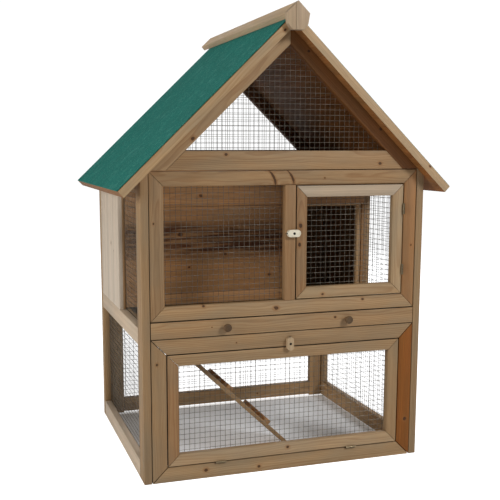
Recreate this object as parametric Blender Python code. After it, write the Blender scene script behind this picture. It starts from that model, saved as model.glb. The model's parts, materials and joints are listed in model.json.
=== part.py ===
"""Two-storey rabbit hutch: a mesh run below, a raised home with a nest room above, under a felted gable roof.

Metres, +Z up, +X to the right and +Y to the back as seen from the front. The origin lies on the ground at
the centre of the whole hutch's box. Each sub-part is one named object. Cutters and fillers are hidden.
"""

import math

import bmesh
import bpy
from mathutils import Matrix, Vector

# ---- clearances ----
FIT = 0.0003  # between pieces that are fixed to each other
REVEAL = 0.0015  # between the fixed panels of the carcass
DOOR_GAP = 0.0025  # round a door in its frame, with room for two hinge leaves
SLIDE_GAP = 0.0015  # round the drawer

# ---- carcass ----
BODY_WIDTH = 0.710
BODY_DEPTH = 0.580
BOARD = 0.018  # thickness of the side, front and back boards
NEST_BOARDING = 0.010  # thickness of the nest room's side boarding, flush with the frame's outside
RUN_HEIGHT = 0.3435  # lower front frame
DRAWER_SLOT = 0.0425
HOME_HEIGHT = 0.3415  # upper front frame
FRONT_STILE = 0.052  # width of a side frame's front stile
REAR_STILE = 0.027
SIDE_RAIL = 0.043  # bottom rail of each side
MID_RAIL = 0.040
MID_RAIL_DROP = 0.0185  # from the top of the lower front frame to the rail's lower edge
TOP_RAIL = 0.033
NEST_DEPTH = 0.295  # from the back face of the hutch to the nest room's front wall
NEST_WALL = 0.012
NEST_WALL_CLEARANCE = 0.004  # the drawer passes below the nest wall
BACK_STILE = 0.038
BACK_RAIL = 0.040
BACK_RAIL_Z = 0.004

# ---- front frames and doors ----
LOWER_STOCK = 0.0355  # face width of the lower fixed frame
UPPER_STOCK = 0.0335
DOOR_STOCK = 0.027
DOOR_THICKNESS = 0.017
MULLION_WIDTH = 0.027
MULLION_X = 0.0035  # centre of the upright between window and upper door

# ---- roof ----
ROOF_PITCH = math.radians(43.9)
ROOF_BOARD = 0.019
FELT = 0.0022
EAVE_OVERHANG = 0.057
ROOF_FRONT = 0.030
ROOF_BACK = 0.033
FELT_INSET = 0.005
RAFTER = 0.028
GABLE_RAIL = 0.0435
GABLE_GAP = 0.002
CAP_BOARD = 0.014
CAP_WIDTH = 0.0387
CAP_BACK = 0.042
FINIAL = 0.0157
FINIAL_DROP = 0.063
FINIAL_FOOT = 0.014

# ---- wire ----
WIRE = 0.0014
WIRE_PITCH = 0.0508  # every fourth wire of half-inch welded mesh

# ---- doorway in the nest wall ----
DOORWAY_WIDTH = 0.162
DOORWAY_HEIGHT = 0.222
DOORWAY_JAMB = 0.025  # wood left between the doorway and the right side
DOORWAY_SILL = 0.055  # above the drawer's underside

# ---- drawer ----
DRAWER_FRONT = 0.039
PAN_FLOOR = 0.005
PAN_WALL = 0.006
PAN_HEIGHT = 0.022
PAN_SIDE_GAP = 0.004
RUNNER_WIDTH = 0.050
RUNNER = 0.019
KNOB_X = 0.155
KNOB_RADIUS = 0.010
KNOB_NECK = 0.0055
KNOB_LENGTH = 0.017

# ---- ramp ----
RAMP_SLOPE = math.radians(43.75)
RAMP_WIDTH = 0.165
RAMP_BOARD = 0.010
RAMP_INSET = 0.070  # from the front face to the ramp
RAMP_FOOT_GAP = 0.001
CLEAT_COUNT = 3
CLEAT_FIRST = 0.071
CLEAT_PITCH = 0.136
CLEAT_WIDTH = 0.018
CLEAT_HEIGHT = 0.010
HATCH_MARGIN = 0.010
HATCH_LENGTH = 0.170
ROD_RADIUS = 0.002
ROD_CLEARANCE = 0.0005
ROD_LUG = 0.004

# ---- turn buttons and hinges ----
BUTTON_LENGTH = 0.033
BUTTON_WIDTH = 0.017
BUTTON_THICKNESS = 0.010
BUTTON_CLEAR = 0.0008  # between a turned button and the door's edge
UPPER_BUTTON_RISE = 0.194  # above the foot of the upper front frame
HINGE_LENGTH = 0.026
HINGE_DEPTH = 0.014
HINGE_LEAF = 0.0008
KNUCKLE_RADIUS = 0.0026
LOWER_HINGE_X = 0.170
UPPER_HINGE_RISE = 0.075  # above and below the middle of the upper door

# ---- derived places ----
TAN = math.tan(ROOF_PITCH)
SIN = math.sin(ROOF_PITCH)
COS = math.cos(ROOF_PITCH)
FRONT_REACH = BODY_DEPTH / 2 + ROOF_FRONT + FIT + FINIAL
BACK_REACH = BODY_DEPTH / 2 + ROOF_BACK + CAP_BACK
CENTRE_Y = (FRONT_REACH - BACK_REACH) / 2
FRONT_Y = CENTRE_Y - BODY_DEPTH / 2
BACK_Y = CENTRE_Y + BODY_DEPTH / 2
INNER_X = BODY_WIDTH / 2 - BOARD
FRAME_X = INNER_X - REVEAL
HOME_Z = RUN_HEIGHT + DRAWER_SLOT
HOME_TOP = HOME_Z + HOME_HEIGHT
GABLE_Z = HOME_TOP + GABLE_GAP
RIDGE_UNDER = GABLE_Z + INNER_X * TAN
MID_RAIL_Z = RUN_HEIGHT - MID_RAIL_DROP
NEST_Y = BACK_Y - NEST_DEPTH
SIDE_TOP = RIDGE_UNDER - (BODY_WIDTH / 2) * TAN - FIT
RUNNER_Z = RUN_HEIGHT + FIT - RUNNER
PAN_Z = RUN_HEIGHT + SLIDE_GAP
NEST_WALL_Z = PAN_Z + PAN_HEIGHT + NEST_WALL_CLEARANCE
SILL_Z = PAN_Z + DOORWAY_SILL
LOWER_AXIS = (FRONT_Y - KNUCKLE_RADIUS - FIT, LOWER_STOCK + DOOR_GAP / 2)
UPPER_AXIS = (FRAME_X - UPPER_STOCK - DOOR_GAP / 2, FRONT_Y - KNUCKLE_RADIUS - FIT)


# ---- materials ----
def material(name, colour, roughness, metallic=0.0):
    """A Principled material of one colour."""
    made = bpy.data.materials.new(name)
    made.use_nodes = True
    shader = made.node_tree.nodes["Principled BSDF"]
    shader.inputs["Base Color"].default_value = (*colour, 1.0)
    shader.inputs["Roughness"].default_value = roughness
    shader.inputs["Metallic"].default_value = metallic
    made.diffuse_color = (*colour, 1.0)
    return made


# ---- shapes ----
def add_object(name, mesh, look, origin=(0.0, 0.0, 0.0)):
    """Links a mesh as a named object. The mesh is in world place, and moves with its origin."""
    mesh.transform(Matrix.Translation(-Vector(origin)))
    made = bpy.data.objects.new(name, mesh)
    made.location = origin
    bpy.context.scene.collection.objects.link(made)
    if look:
        mesh.materials.append(look)
    return made


def box_mesh(low, high):
    """A closed box between two corners."""
    low, high = Vector(low), Vector(high)
    shape = bmesh.new()
    bmesh.ops.create_cube(shape, size=1.0)
    bmesh.ops.scale(shape, vec=high - low, verts=shape.verts)
    bmesh.ops.translate(shape, vec=(low + high) / 2, verts=shape.verts)
    mesh = bpy.data.meshes.new("box")
    shape.to_mesh(mesh)
    shape.free()
    return mesh


def prism_mesh(outline, start, end, axis):
    """An outline of (right, up) points, extruded along Y, or along X when the outline is (back, up)."""
    shape = bmesh.new()
    if axis == "y":
        verts = [shape.verts.new((u, start, v)) for u, v in outline]
        step = Vector((0.0, end - start, 0.0))
    else:
        verts = [shape.verts.new((start, u, v)) for u, v in outline]
        step = Vector((end - start, 0.0, 0.0))
    face = shape.faces.new(verts)
    pushed = bmesh.ops.extrude_face_region(shape, geom=[face])
    moved = [item for item in pushed["geom"] if isinstance(item, bmesh.types.BMVert)]
    bmesh.ops.translate(shape, vec=step, verts=moved)
    bmesh.ops.recalc_face_normals(shape, faces=shape.faces)
    mesh = bpy.data.meshes.new("prism")
    shape.to_mesh(mesh)
    shape.free()
    return mesh


def rod_mesh(centre, radius, length, axis, segments=24):
    """A closed cylinder along X, Y or Z."""
    turn = {
        "x": Matrix.Rotation(math.pi / 2, 4, "Y"),
        "y": Matrix.Rotation(math.pi / 2, 4, "X"),
        "z": Matrix.Identity(4),
    }[axis]
    shape = bmesh.new()
    bmesh.ops.create_cone(
        shape,
        cap_ends=True,
        segments=segments,
        radius1=radius,
        radius2=radius,
        depth=length,
        matrix=Matrix.Translation(centre) @ turn,
    )
    mesh = bpy.data.meshes.new("rod")
    shape.to_mesh(mesh)
    shape.free()
    return mesh


def combine(target, mesh, operation):
    """Adds a hidden helper's shape to the target, or takes it away."""
    helper = bpy.data.objects.new(f"{target.name}_{operation.lower()}_{len(target.modifiers)}", mesh)
    helper.hide_render = True
    helper.display_type = "WIRE"
    bpy.context.scene.collection.objects.link(helper)
    modifier = target.modifiers.new(operation.lower(), "BOOLEAN")
    modifier.operation = operation
    modifier.solver = "EXACT"
    modifier.object = helper
    return helper


def cut(target, mesh):
    return combine(target, mesh, "DIFFERENCE")


def join(target, mesh):
    return combine(target, mesh, "UNION")


def box(name, low, high, look, origin=(0.0, 0.0, 0.0)):
    return add_object(name, box_mesh(low, high), look, origin)


def frame(name, low, high, stock, look, origin=(0.0, 0.0, 0.0)):
    """A flat frame of four mitred boards, facing front: an upright ring between two corners."""
    ring = bmesh.new()
    x = (low[0], high[0])
    z = (low[2], high[2])
    outer = [(x[0], z[0]), (x[1], z[0]), (x[1], z[1]), (x[0], z[1])]
    inner = [
        (x[0] + stock, z[0] + stock),
        (x[1] - stock, z[0] + stock),
        (x[1] - stock, z[1] - stock),
        (x[0] + stock, z[1] - stock),
    ]
    rings = []
    for depth in (low[1], high[1]):
        rings.append(
            (
                [ring.verts.new((u, depth, v)) for u, v in outer],
                [ring.verts.new((u, depth, v)) for u, v in inner],
            )
        )
    for i in range(4):
        j = (i + 1) % 4
        for outside, inside in rings:
            ring.faces.new((outside[i], outside[j], inside[j], inside[i]))
        for near, far in zip(rings[0], rings[1]):
            ring.faces.new((near[i], near[j], far[j], far[i]))
    bmesh.ops.recalc_face_normals(ring, faces=ring.faces)
    mesh = bpy.data.meshes.new("frame")
    ring.to_mesh(mesh)
    ring.free()
    return add_object(name, mesh, look, origin)


def grid_mesh(low, high, axes):
    """Welded wire: a thin grid of square wires that fills a rectangle. axes names its two directions."""
    a, b = ("xyz".index(letter) for letter in axes)
    through = 3 - a - b
    lines = []
    for k in (a, b):
        span = high[k] - low[k]
        cells = max(1, round(span / WIRE_PITCH))
        edges = []
        for i in range(cells + 1):
            start = low[k] + i * (span - WIRE) / cells
            edges += [start, start + WIRE]
        lines.append(edges)
    shape = bmesh.new()
    verts = {}
    for i, u in enumerate(lines[0]):
        for j, v in enumerate(lines[1]):
            place = [0.0, 0.0, 0.0]
            place[a], place[b], place[through] = u, v, low[through]
            verts[i, j] = shape.verts.new(place)
    for i in range(len(lines[0]) - 1):
        for j in range(len(lines[1]) - 1):
            if i % 2 == 0 or j % 2 == 0:
                shape.faces.new((verts[i, j], verts[i + 1, j], verts[i + 1, j + 1], verts[i, j + 1]))
    pushed = bmesh.ops.extrude_face_region(shape, geom=shape.faces[:])
    moved = [item for item in pushed["geom"] if isinstance(item, bmesh.types.BMVert)]
    step = Vector((0.0, 0.0, 0.0))
    step[through] = high[through] - low[through]
    bmesh.ops.translate(shape, vec=step, verts=moved)
    bmesh.ops.recalc_face_normals(shape, faces=shape.faces)
    mesh = bpy.data.meshes.new("wire")
    shape.to_mesh(mesh)
    shape.free()
    return mesh


def wire(name, low, high, axes, look, origin=(0.0, 0.0, 0.0)):
    return add_object(name, grid_mesh(low, high, axes), look, origin)


# ---- sides ----
def side(label, sign, wood, steel):
    """One side frame: stiles, rails, the nest room's boarding and two wire panels. sign is -1 on the left."""

    def piece(part, low_y, high_y, low_z, high_z, thick=BOARD):
        xs = sorted((sign * (BODY_WIDTH / 2 - thick), sign * BODY_WIDTH / 2))
        return box(f"{label}_{part}", (xs[0], low_y, low_z), (xs[1], high_y, high_z), wood)

    def panel(part, low_y, high_y, low_z, high_z):
        xs = sorted((sign * INNER_X, sign * (INNER_X + WIRE)))
        low = (xs[0], low_y + FIT, low_z + FIT)
        wire(f"{label}_{part}", low, (xs[1], high_y - FIT, high_z - FIT), "yz", steel)

    stile_y = FRONT_Y + FRONT_STILE
    rear_y = BACK_Y - REAR_STILE
    piece("front_stile", FRONT_Y, stile_y, 0.0, SIDE_TOP)
    piece("rear_stile", rear_y, BACK_Y, 0.0, SIDE_TOP)
    piece("bottom_rail", stile_y + FIT, rear_y - FIT, 0.0, SIDE_RAIL)
    piece("mid_rail", stile_y + FIT, rear_y - FIT, MID_RAIL_Z, MID_RAIL_Z + MID_RAIL)
    piece("top_rail", stile_y + FIT, rear_y - FIT, SIDE_TOP - TOP_RAIL, SIDE_TOP)
    home_z = MID_RAIL_Z + MID_RAIL
    piece("nest_boarding", NEST_Y, rear_y - FIT, home_z + FIT, SIDE_TOP - TOP_RAIL - FIT, NEST_BOARDING)
    panel("window_wire", stile_y, NEST_Y, home_z, SIDE_TOP - TOP_RAIL)
    panel("run_wire", stile_y, rear_y, SIDE_RAIL, MID_RAIL_Z)


def runner(label, sign, wood):
    """A flat board inside each side, which the drawer slides on."""
    xs = sorted((sign * (INNER_X - FIT), sign * (INNER_X - RUNNER_WIDTH)))
    low = (xs[0], FRONT_Y + BOARD + FIT, RUNNER_Z)
    box(f"{label}_runner", low, (xs[1], BACK_Y - BOARD - FIT, RUNNER_Z + RUNNER), wood)


# ---- back ----
def back(wood, steel):
    """Two stiles, two rails, the upper boarding and the run's wire."""
    front = BACK_Y - BOARD
    inner = FRAME_X - BACK_STILE
    for label, sign in (("left", -1), ("right", 1)):
        xs = sorted((sign * inner, sign * FRAME_X))
        box(f"back_{label}_stile", (xs[0], front, 0.0), (xs[1], BACK_Y, HOME_TOP), wood)
    span = inner - FIT
    top = BACK_RAIL_Z + BACK_RAIL
    box("back_bottom_rail", (-span, front, BACK_RAIL_Z), (span, BACK_Y, top), wood)
    home_z = MID_RAIL_Z + MID_RAIL
    box("back_mid_rail", (-span, front, MID_RAIL_Z), (span, BACK_Y, home_z), wood)
    box("back_boarding", (-span, front, home_z + FIT), (span, BACK_Y, HOME_TOP), wood)
    wire("back_run_wire", (-span, front, top + FIT), (span, front + WIRE, MID_RAIL_Z - FIT), "xz", steel)


# ---- front ----
def fixed_fronts(wood, steel):
    """The two fixed front frames, the upright between window and door, and the window's wire."""
    behind = FRONT_Y + BOARD
    frame("lower_front_frame", (-FRAME_X, FRONT_Y, 0.0), (FRAME_X, behind, RUN_HEIGHT), LOWER_STOCK, wood)
    frame("upper_front_frame", (-FRAME_X, FRONT_Y, HOME_Z), (FRAME_X, behind, HOME_TOP), UPPER_STOCK, wood)
    low_z = HOME_Z + UPPER_STOCK
    high_z = HOME_TOP - UPPER_STOCK
    left = MULLION_X - MULLION_WIDTH / 2
    low = (left, FRONT_Y, low_z + FIT)
    box("front_mullion", low, (left + MULLION_WIDTH, behind, high_z - FIT), wood)
    low = (-FRAME_X + UPPER_STOCK + FIT, behind - WIRE, low_z + FIT)
    wire("front_window_wire", low, (left - FIT, behind, high_z - FIT), "xz", steel)


def door(name, low, high, origin, wood, steel):
    """A mitred frame with wire let in at its back, turning about its hinge line."""
    frame(f"{name}_frame", low, high, DOOR_STOCK, wood, origin)
    inside = DOOR_STOCK + FIT
    start = (low[0] + inside, high[1] - WIRE, low[2] + inside)
    wire(f"{name}_wire", start, (high[0] - inside, high[1], high[2] - inside), "xz", steel, origin)


def doors(wood, steel):
    """The run's door drops forward about its bottom edge. The home's door swings about its right edge."""
    side_x = FRAME_X - LOWER_STOCK - DOOR_GAP
    low = (-side_x, FRONT_Y, LOWER_STOCK + DOOR_GAP)
    high = (side_x, FRONT_Y + DOOR_THICKNESS, RUN_HEIGHT - LOWER_STOCK - DOOR_GAP)
    door("lower_door", low, high, (0.0, *LOWER_AXIS), wood, steel)
    left = MULLION_X + MULLION_WIDTH / 2 + DOOR_GAP
    low = (left, FRONT_Y, HOME_Z + UPPER_STOCK + DOOR_GAP)
    right = FRAME_X - UPPER_STOCK - DOOR_GAP
    high = (right, FRONT_Y + DOOR_THICKNESS, HOME_TOP - UPPER_STOCK - DOOR_GAP)
    middle = (low[2] + high[2]) / 2
    door("upper_door", low, high, (*UPPER_AXIS, middle), wood, steel)
    return middle


# ---- hinges ----
def hinge(name, centre, axis, steel):
    """A butt hinge in the gap beside a door: one leaf on the frame with two knuckles and the pin, one on the
    door with the middle knuckle. axis is x for the dropping door and z for the swinging one."""
    third = HINGE_LENGTH / 3
    along = "xyz".index(axis)
    across = 2 if axis == "x" else 0
    away = -1.0 if axis == "x" else 1.0  # towards the fixed frame
    for part, side_sign, offsets in (("fixed", away, (-third, third)), ("door", -away, (0.0,))):
        near, far = FIT / 2, FIT / 2 + HINGE_LEAF
        edges = sorted((side_sign * near, side_sign * far))
        low = list(centre)
        high = list(centre)
        low[along] -= HINGE_LENGTH / 2
        high[along] += HINGE_LENGTH / 2
        low[across] += edges[0]
        high[across] += edges[1]
        low[1] = FRONT_Y + FIT / 2
        high[1] = FRONT_Y + HINGE_DEPTH
        leaf = box(f"{name}_{part}_leaf", low, high, steel, centre)
        for offset in offsets:
            start = list(centre)
            start[along] += offset
            length = third - FIT
            join(leaf, rod_mesh(start, KNUCKLE_RADIUS, length, axis, 16))
            web_low = list(start)
            web_high = list(start)
            web_low[along] -= length / 2
            web_high[along] += length / 2
            web_low[across] += edges[0]
            web_high[across] += edges[1]
            web_high[1] = FRONT_Y + FIT
            join(leaf, box_mesh(web_low, web_high))
        if part == "fixed":
            join(leaf, rod_mesh(centre, ROD_RADIUS / 2, HINGE_LENGTH - FIT, axis, 12))
        else:
            cut(leaf, rod_mesh(centre, ROD_RADIUS / 2 + FIT, HINGE_LENGTH, axis, 12))


def hinges(upper_middle, steel):
    for label, sign in (("left", -1), ("right", 1)):
        hinge(f"lower_{label}_hinge", (sign * LOWER_HINGE_X, *LOWER_AXIS), "x", steel)
    for label, sign in (("bottom", -1), ("top", 1)):
        height = upper_middle + sign * UPPER_HINGE_RISE
        hinge(f"upper_{label}_hinge", (*UPPER_AXIS, height), "z", steel)


# ---- turn buttons ----
def turn_button(name, pivot, long_axis, look):
    """A bar with round ends that turns on its middle in front of the frame."""
    half = (BUTTON_LENGTH - BUTTON_WIDTH) / 2
    low = [pivot[0] - BUTTON_WIDTH / 2, pivot[1] - BUTTON_THICKNESS, pivot[2] - BUTTON_WIDTH / 2]
    high = [pivot[0] + BUTTON_WIDTH / 2, pivot[1], pivot[2] + BUTTON_WIDTH / 2]
    k = "xyz".index(long_axis)
    low[k] = pivot[k] - half
    high[k] = pivot[k] + half
    outline = []
    for end in (1, -1):
        for i in range(13):
            angle = math.pi * i / 12 - math.pi / 2 + (0 if end > 0 else math.pi)
            u = end * half + math.cos(angle) * BUTTON_WIDTH / 2
            v = math.sin(angle) * BUTTON_WIDTH / 2
            outline.append((pivot[0] + u, pivot[2] + v) if long_axis == "x" else (pivot[0] - v, pivot[2] + u))
    mesh = prism_mesh(outline, low[1], high[1], "y")
    return add_object(name, mesh, look, pivot)


def turn_buttons(wood, cream):
    front = FRONT_Y - FIT
    door_top = RUN_HEIGHT - LOWER_STOCK - DOOR_GAP
    pivot = (MULLION_X, front, door_top + BUTTON_WIDTH / 2 + BUTTON_CLEAR)
    turn_button("lower_turn_button", pivot, "z", wood)
    door_left = MULLION_X + MULLION_WIDTH / 2 + DOOR_GAP
    pivot = (door_left - BUTTON_WIDTH / 2 - BUTTON_CLEAR, front, HOME_Z + UPPER_BUTTON_RISE)
    turn_button("upper_turn_button", pivot, "x", cream)


# ---- gables ----
def roof_under(x):
    """Height of the roof's underside at a distance from the middle."""
    return RIDGE_UNDER - abs(x) * TAN


def gable(label, front_y, wire_y, wood, steel):
    """A triangular frame: two rafters on a rail, with wire inside."""
    drop = FIT / COS
    apex = RIDGE_UNDER - drop
    half = (apex - GABLE_Z) / TAN
    outline = [(-half, GABLE_Z), (half, GABLE_Z), (0.0, apex)]
    made = add_object(f"{label}_gable_frame", prism_mesh(outline, front_y, front_y + BOARD, "y"), wood)
    base = GABLE_Z + GABLE_RAIL
    inner_apex = apex - RAFTER / COS
    inner_half = (inner_apex - base) / TAN
    hole = [(-inner_half, base), (inner_half, base), (0.0, inner_apex)]
    cut(made, prism_mesh(hole, front_y - BOARD, front_y + 2 * BOARD, "y"))

    def inset(by):
        reach = inner_half - by * (1 + 1 / COS) / TAN
        return [(-reach, base + by), (reach, base + by), (0.0, inner_apex - by / COS)]

    low = (-inner_half - WIRE_PITCH / 2, wire_y, base - WIRE_PITCH / 2)
    high = (inner_half + WIRE_PITCH / 2, wire_y + WIRE, inner_apex + WIRE_PITCH / 2)
    net = wire(f"{label}_gable_wire", low, high, "xz", steel)
    combine(net, prism_mesh(inset(2 * FIT), wire_y - WIRE, wire_y + 2 * WIRE, "y"), "INTERSECT")
    border = join(net, prism_mesh(inset(FIT), wire_y - FIT, wire_y + WIRE + FIT, "y"))
    cut(border, prism_mesh(inset(FIT + 2 * WIRE), wire_y - WIRE, wire_y + 2 * WIRE, "y"))


def gables(wood, steel):
    gable("front", FRONT_Y, FRONT_Y + BOARD - WIRE - FIT, wood, steel)
    gable("back", BACK_Y - BOARD, BACK_Y - BOARD + FIT, wood, steel)


# ---- roof ----
def slope_outline(sign, low, high, length):
    """A slab's section: low and high are heights over the roof's underside, length runs down the slope."""
    gap = FIT / 2
    ends = []
    for height in (low, high):
        ridge = RIDGE_UNDER + height / COS - gap * TAN
        eave_x = length * COS + height * SIN
        eave_z = RIDGE_UNDER - length * SIN + height * COS
        ends.append(((sign * gap, ridge), (sign * eave_x, eave_z)))
    return [ends[0][0], ends[0][1], ends[1][1], ends[1][0]]


def roof(wood, green):
    """Two boarded slopes with felt, the two boards over the ridge and the block that closes them in front."""
    start = FRONT_Y - ROOF_FRONT
    end = BACK_Y + ROOF_BACK
    total = ROOF_BOARD + FIT + FELT
    length = (BODY_WIDTH / 2 + EAVE_OVERHANG - total * SIN) / COS
    cap_low = total + FIT
    cap_high = cap_low + CAP_BOARD
    cap_length = CAP_WIDTH - cap_high * TAN
    for label, sign in (("left", -1), ("right", 1)):
        outline = slope_outline(sign, 0.0, ROOF_BOARD, length)
        add_object(f"{label}_roof_panel", prism_mesh(outline, start, end, "y"), wood)
        outline = slope_outline(sign, ROOF_BOARD + FIT, total, length)
        felt = prism_mesh(outline, start + FELT_INSET, end - FELT_INSET, "y")
        add_object(f"{label}_roof_felt", felt, green)
        outline = slope_outline(sign, cap_low, cap_high, cap_length)
        add_object(f"{label}_ridge_board", prism_mesh(outline, start, end + CAP_BACK, "y"), wood)
    apex = RIDGE_UNDER + cap_high / COS
    shoulder_x = cap_length * COS + cap_high * SIN
    shoulder_z = RIDGE_UNDER - cap_length * SIN + cap_high * COS
    bend = (shoulder_x + FINIAL_FOOT) / 2 + (shoulder_x - FINIAL_FOOT) / 4
    outline = [
        (0.0, apex),
        (-shoulder_x, shoulder_z),
        (-bend, apex - 0.8 * FINIAL_DROP),
        (-FINIAL_FOOT, apex - FINIAL_DROP),
        (FINIAL_FOOT, apex - FINIAL_DROP),
        (bend, apex - 0.8 * FINIAL_DROP),
        (shoulder_x, shoulder_z),
    ]
    add_object("ridge_finial", prism_mesh(outline, start - FIT - FINIAL, start - FIT, "y"), wood)


# ---- inside ----
def nest_wall(wood):
    """The wall across the home, with the doorway to the nest room."""
    front = NEST_Y - NEST_WALL / 2
    low = (-INNER_X + FIT, front, NEST_WALL_Z)
    made = box("nest_wall", low, (INNER_X - FIT, front + NEST_WALL, HOME_TOP), wood)
    right = INNER_X - DOORWAY_JAMB
    low = (right - DOORWAY_WIDTH, front - NEST_WALL, SILL_Z)
    cut(made, box_mesh(low, (right, front + 2 * NEST_WALL, SILL_Z + DOORWAY_HEIGHT)))


def ramp_axis():
    """The ramp turns on a rod beside the left runner, just under the drawer."""
    x = -INNER_X + RUNNER_WIDTH + RAMP_BOARD / 2 + SLIDE_GAP
    return Vector((x, FRONT_Y + RAMP_INSET + RAMP_WIDTH / 2, RUNNER_Z + RAMP_BOARD / 2 + SLIDE_GAP))


def ramp(wood, steel):
    """A cleated board hung on a steel rod, and the rod with its two lugs."""
    pivot = ramp_axis()
    half = RAMP_BOARD / 2
    length = (pivot.z - RAMP_FOOT_GAP - half * math.cos(RAMP_SLOPE)) / math.sin(RAMP_SLOPE)
    side_y = RAMP_WIDTH / 2
    made = add_object("ramp", box_mesh((0.0, -side_y, -half), (length, side_y, half)), wood)
    join(made, rod_mesh((0.0, 0.0, 0.0), half, RAMP_WIDTH, "y", 32))
    for i in range(CLEAT_COUNT):
        start = CLEAT_FIRST + i * CLEAT_PITCH - CLEAT_WIDTH / 2
        low = (start, -side_y + FIT, half - 0.002)
        join(made, box_mesh(low, (start + CLEAT_WIDTH, side_y - FIT, half + CLEAT_HEIGHT)))
    cut(made, rod_mesh((0.0, 0.0, 0.0), ROD_RADIUS + ROD_CLEARANCE, RAMP_WIDTH + 2 * BOARD, "y", 32))
    for item in bpy.context.scene.collection.objects:
        if item.name.startswith("ramp_"):
            item.parent = made
    made.location = pivot
    made.rotation_euler = (0.0, RAMP_SLOPE, 0.0)
    reach = side_y + SLIDE_GAP + ROD_LUG
    rod = add_object("ramp_rod", rod_mesh(pivot, ROD_RADIUS, 2 * reach - FIT, "y", 16), steel)
    for sign in (-1, 1):
        ys = sorted((pivot.y + sign * (reach - ROD_LUG), pivot.y + sign * reach))
        low = (-INNER_X + RUNNER_WIDTH + FIT, ys[0], pivot.z - 2 * ROD_RADIUS)
        join(rod, box_mesh(low, (pivot.x + 2 * ROD_RADIUS, ys[1], pivot.z + 2 * ROD_RADIUS)))


# ---- drawer ----
def drawer(wood):
    """The slide-out floor: a front board with two knobs, and a shallow pan with a hatch over the ramp."""
    top = PAN_Z + DRAWER_FRONT
    box("drawer_front", (-FRAME_X, FRONT_Y, PAN_Z), (FRAME_X, FRONT_Y + BOARD, top), wood)
    half = INNER_X - PAN_SIDE_GAP
    start = FRONT_Y + BOARD + FIT
    end = BACK_Y - BOARD - PAN_SIDE_GAP
    pan = box("drawer_pan", (-half, start, PAN_Z), (half, end, PAN_Z + PAN_HEIGHT), wood)
    inner = half - PAN_WALL
    axis = ramp_axis()
    hatch_x = axis.x - RAMP_BOARD / 2
    hatch_y = axis.y - RAMP_WIDTH / 2 - HATCH_MARGIN
    hatch_end = axis.y + RAMP_WIDTH / 2 + HATCH_MARGIN
    floor = PAN_Z + PAN_FLOOR
    over = PAN_Z + PAN_HEIGHT + BOARD
    rim_x = (hatch_x - PAN_WALL, hatch_x + HATCH_LENGTH + PAN_WALL)
    rim_y = (hatch_y - PAN_WALL, hatch_end + PAN_WALL)
    back_edge = end - PAN_WALL
    front_edge = start + PAN_WALL
    cut(pan, box_mesh((rim_x[1], front_edge, floor), (inner, back_edge, over)))
    cut(pan, box_mesh((-inner, rim_y[1], floor), (rim_x[1] + BOARD, back_edge, over)))
    cut(pan, box_mesh((-inner, front_edge, floor), (rim_x[1] + BOARD, rim_y[0], over)))
    cut(pan, box_mesh((-inner, rim_y[0] - BOARD, floor), (rim_x[0], rim_y[1] + BOARD, over)))
    hole = ((hatch_x, hatch_y, PAN_Z - BOARD), (hatch_x + HATCH_LENGTH, hatch_end, over))
    cut(pan, box_mesh(*hole))
    middle = PAN_Z + DRAWER_FRONT / 2
    for label, sign in (("left", -1), ("right", 1)):
        knob(f"drawer_{label}_knob", (sign * KNOB_X, FRONT_Y - FIT, middle), wood)


def knob(name, seat, look):
    """A turned wooden knob: a neck that widens to a round head."""
    profile = [
        (0.0, 0.0),
        (KNOB_NECK, 0.0),
        (KNOB_NECK * 0.8, KNOB_LENGTH * 0.35),
        (KNOB_RADIUS, KNOB_LENGTH * 0.65),
        (KNOB_RADIUS * 0.8, KNOB_LENGTH * 0.92),
        (0.0, KNOB_LENGTH),
    ]
    shape = bmesh.new()
    verts = [shape.verts.new((seat[0] + r, seat[1] - depth, seat[2])) for r, depth in profile]
    edges = [shape.edges.new(pair) for pair in zip(verts, verts[1:])]
    bmesh.ops.spin(
        shape,
        geom=verts + edges,
        cent=seat,
        axis=(0.0, 1.0, 0.0),
        angle=2 * math.pi,
        steps=24,
        use_merge=True,
    )
    bmesh.ops.remove_doubles(shape, verts=shape.verts, dist=1e-6)
    bmesh.ops.recalc_face_normals(shape, faces=shape.faces)
    mesh = bpy.data.meshes.new("knob")
    shape.to_mesh(mesh)
    shape.free()
    mesh.shade_smooth()
    mesh.set_sharp_from_angle(angle=math.radians(40))
    add_object(name, mesh, look, seat)


def main():
    for item in list(bpy.data.objects):
        bpy.data.objects.remove(item)
    wood = material("fir_wood", (0.52, 0.38, 0.24), 0.65)
    steel = material("galvanised_wire", (0.62, 0.64, 0.66), 0.35, 1.0)
    hinge_steel = material("hinge_steel", (0.55, 0.50, 0.38), 0.35, 1.0)
    green = material("green_roofing_felt", (0.020, 0.165, 0.130), 0.90)
    cream = material("cream_plastic", (0.80, 0.74, 0.60), 0.40)
    for label, sign in (("left", -1), ("right", 1)):
        side(label, sign, wood, steel)
        runner(label, sign, wood)
    back(wood, steel)
    fixed_fronts(wood, steel)
    upper_middle = doors(wood, steel)
    hinges(upper_middle, hinge_steel)
    turn_buttons(wood, cream)
    gables(wood, steel)
    roof(wood, green)
    nest_wall(wood)
    ramp(wood, hinge_steel)
    drawer(wood)


main()
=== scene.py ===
"""The looks of a two-storey rabbit hutch: fir boards, welded wire, mineral felt and fittings."""

from __future__ import annotations

import json
import logging
import math
import random
from dataclasses import dataclass, field
from enum import Enum
from typing import Any, Sequence

import bpy
from mathutils import Matrix, Vector


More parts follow.
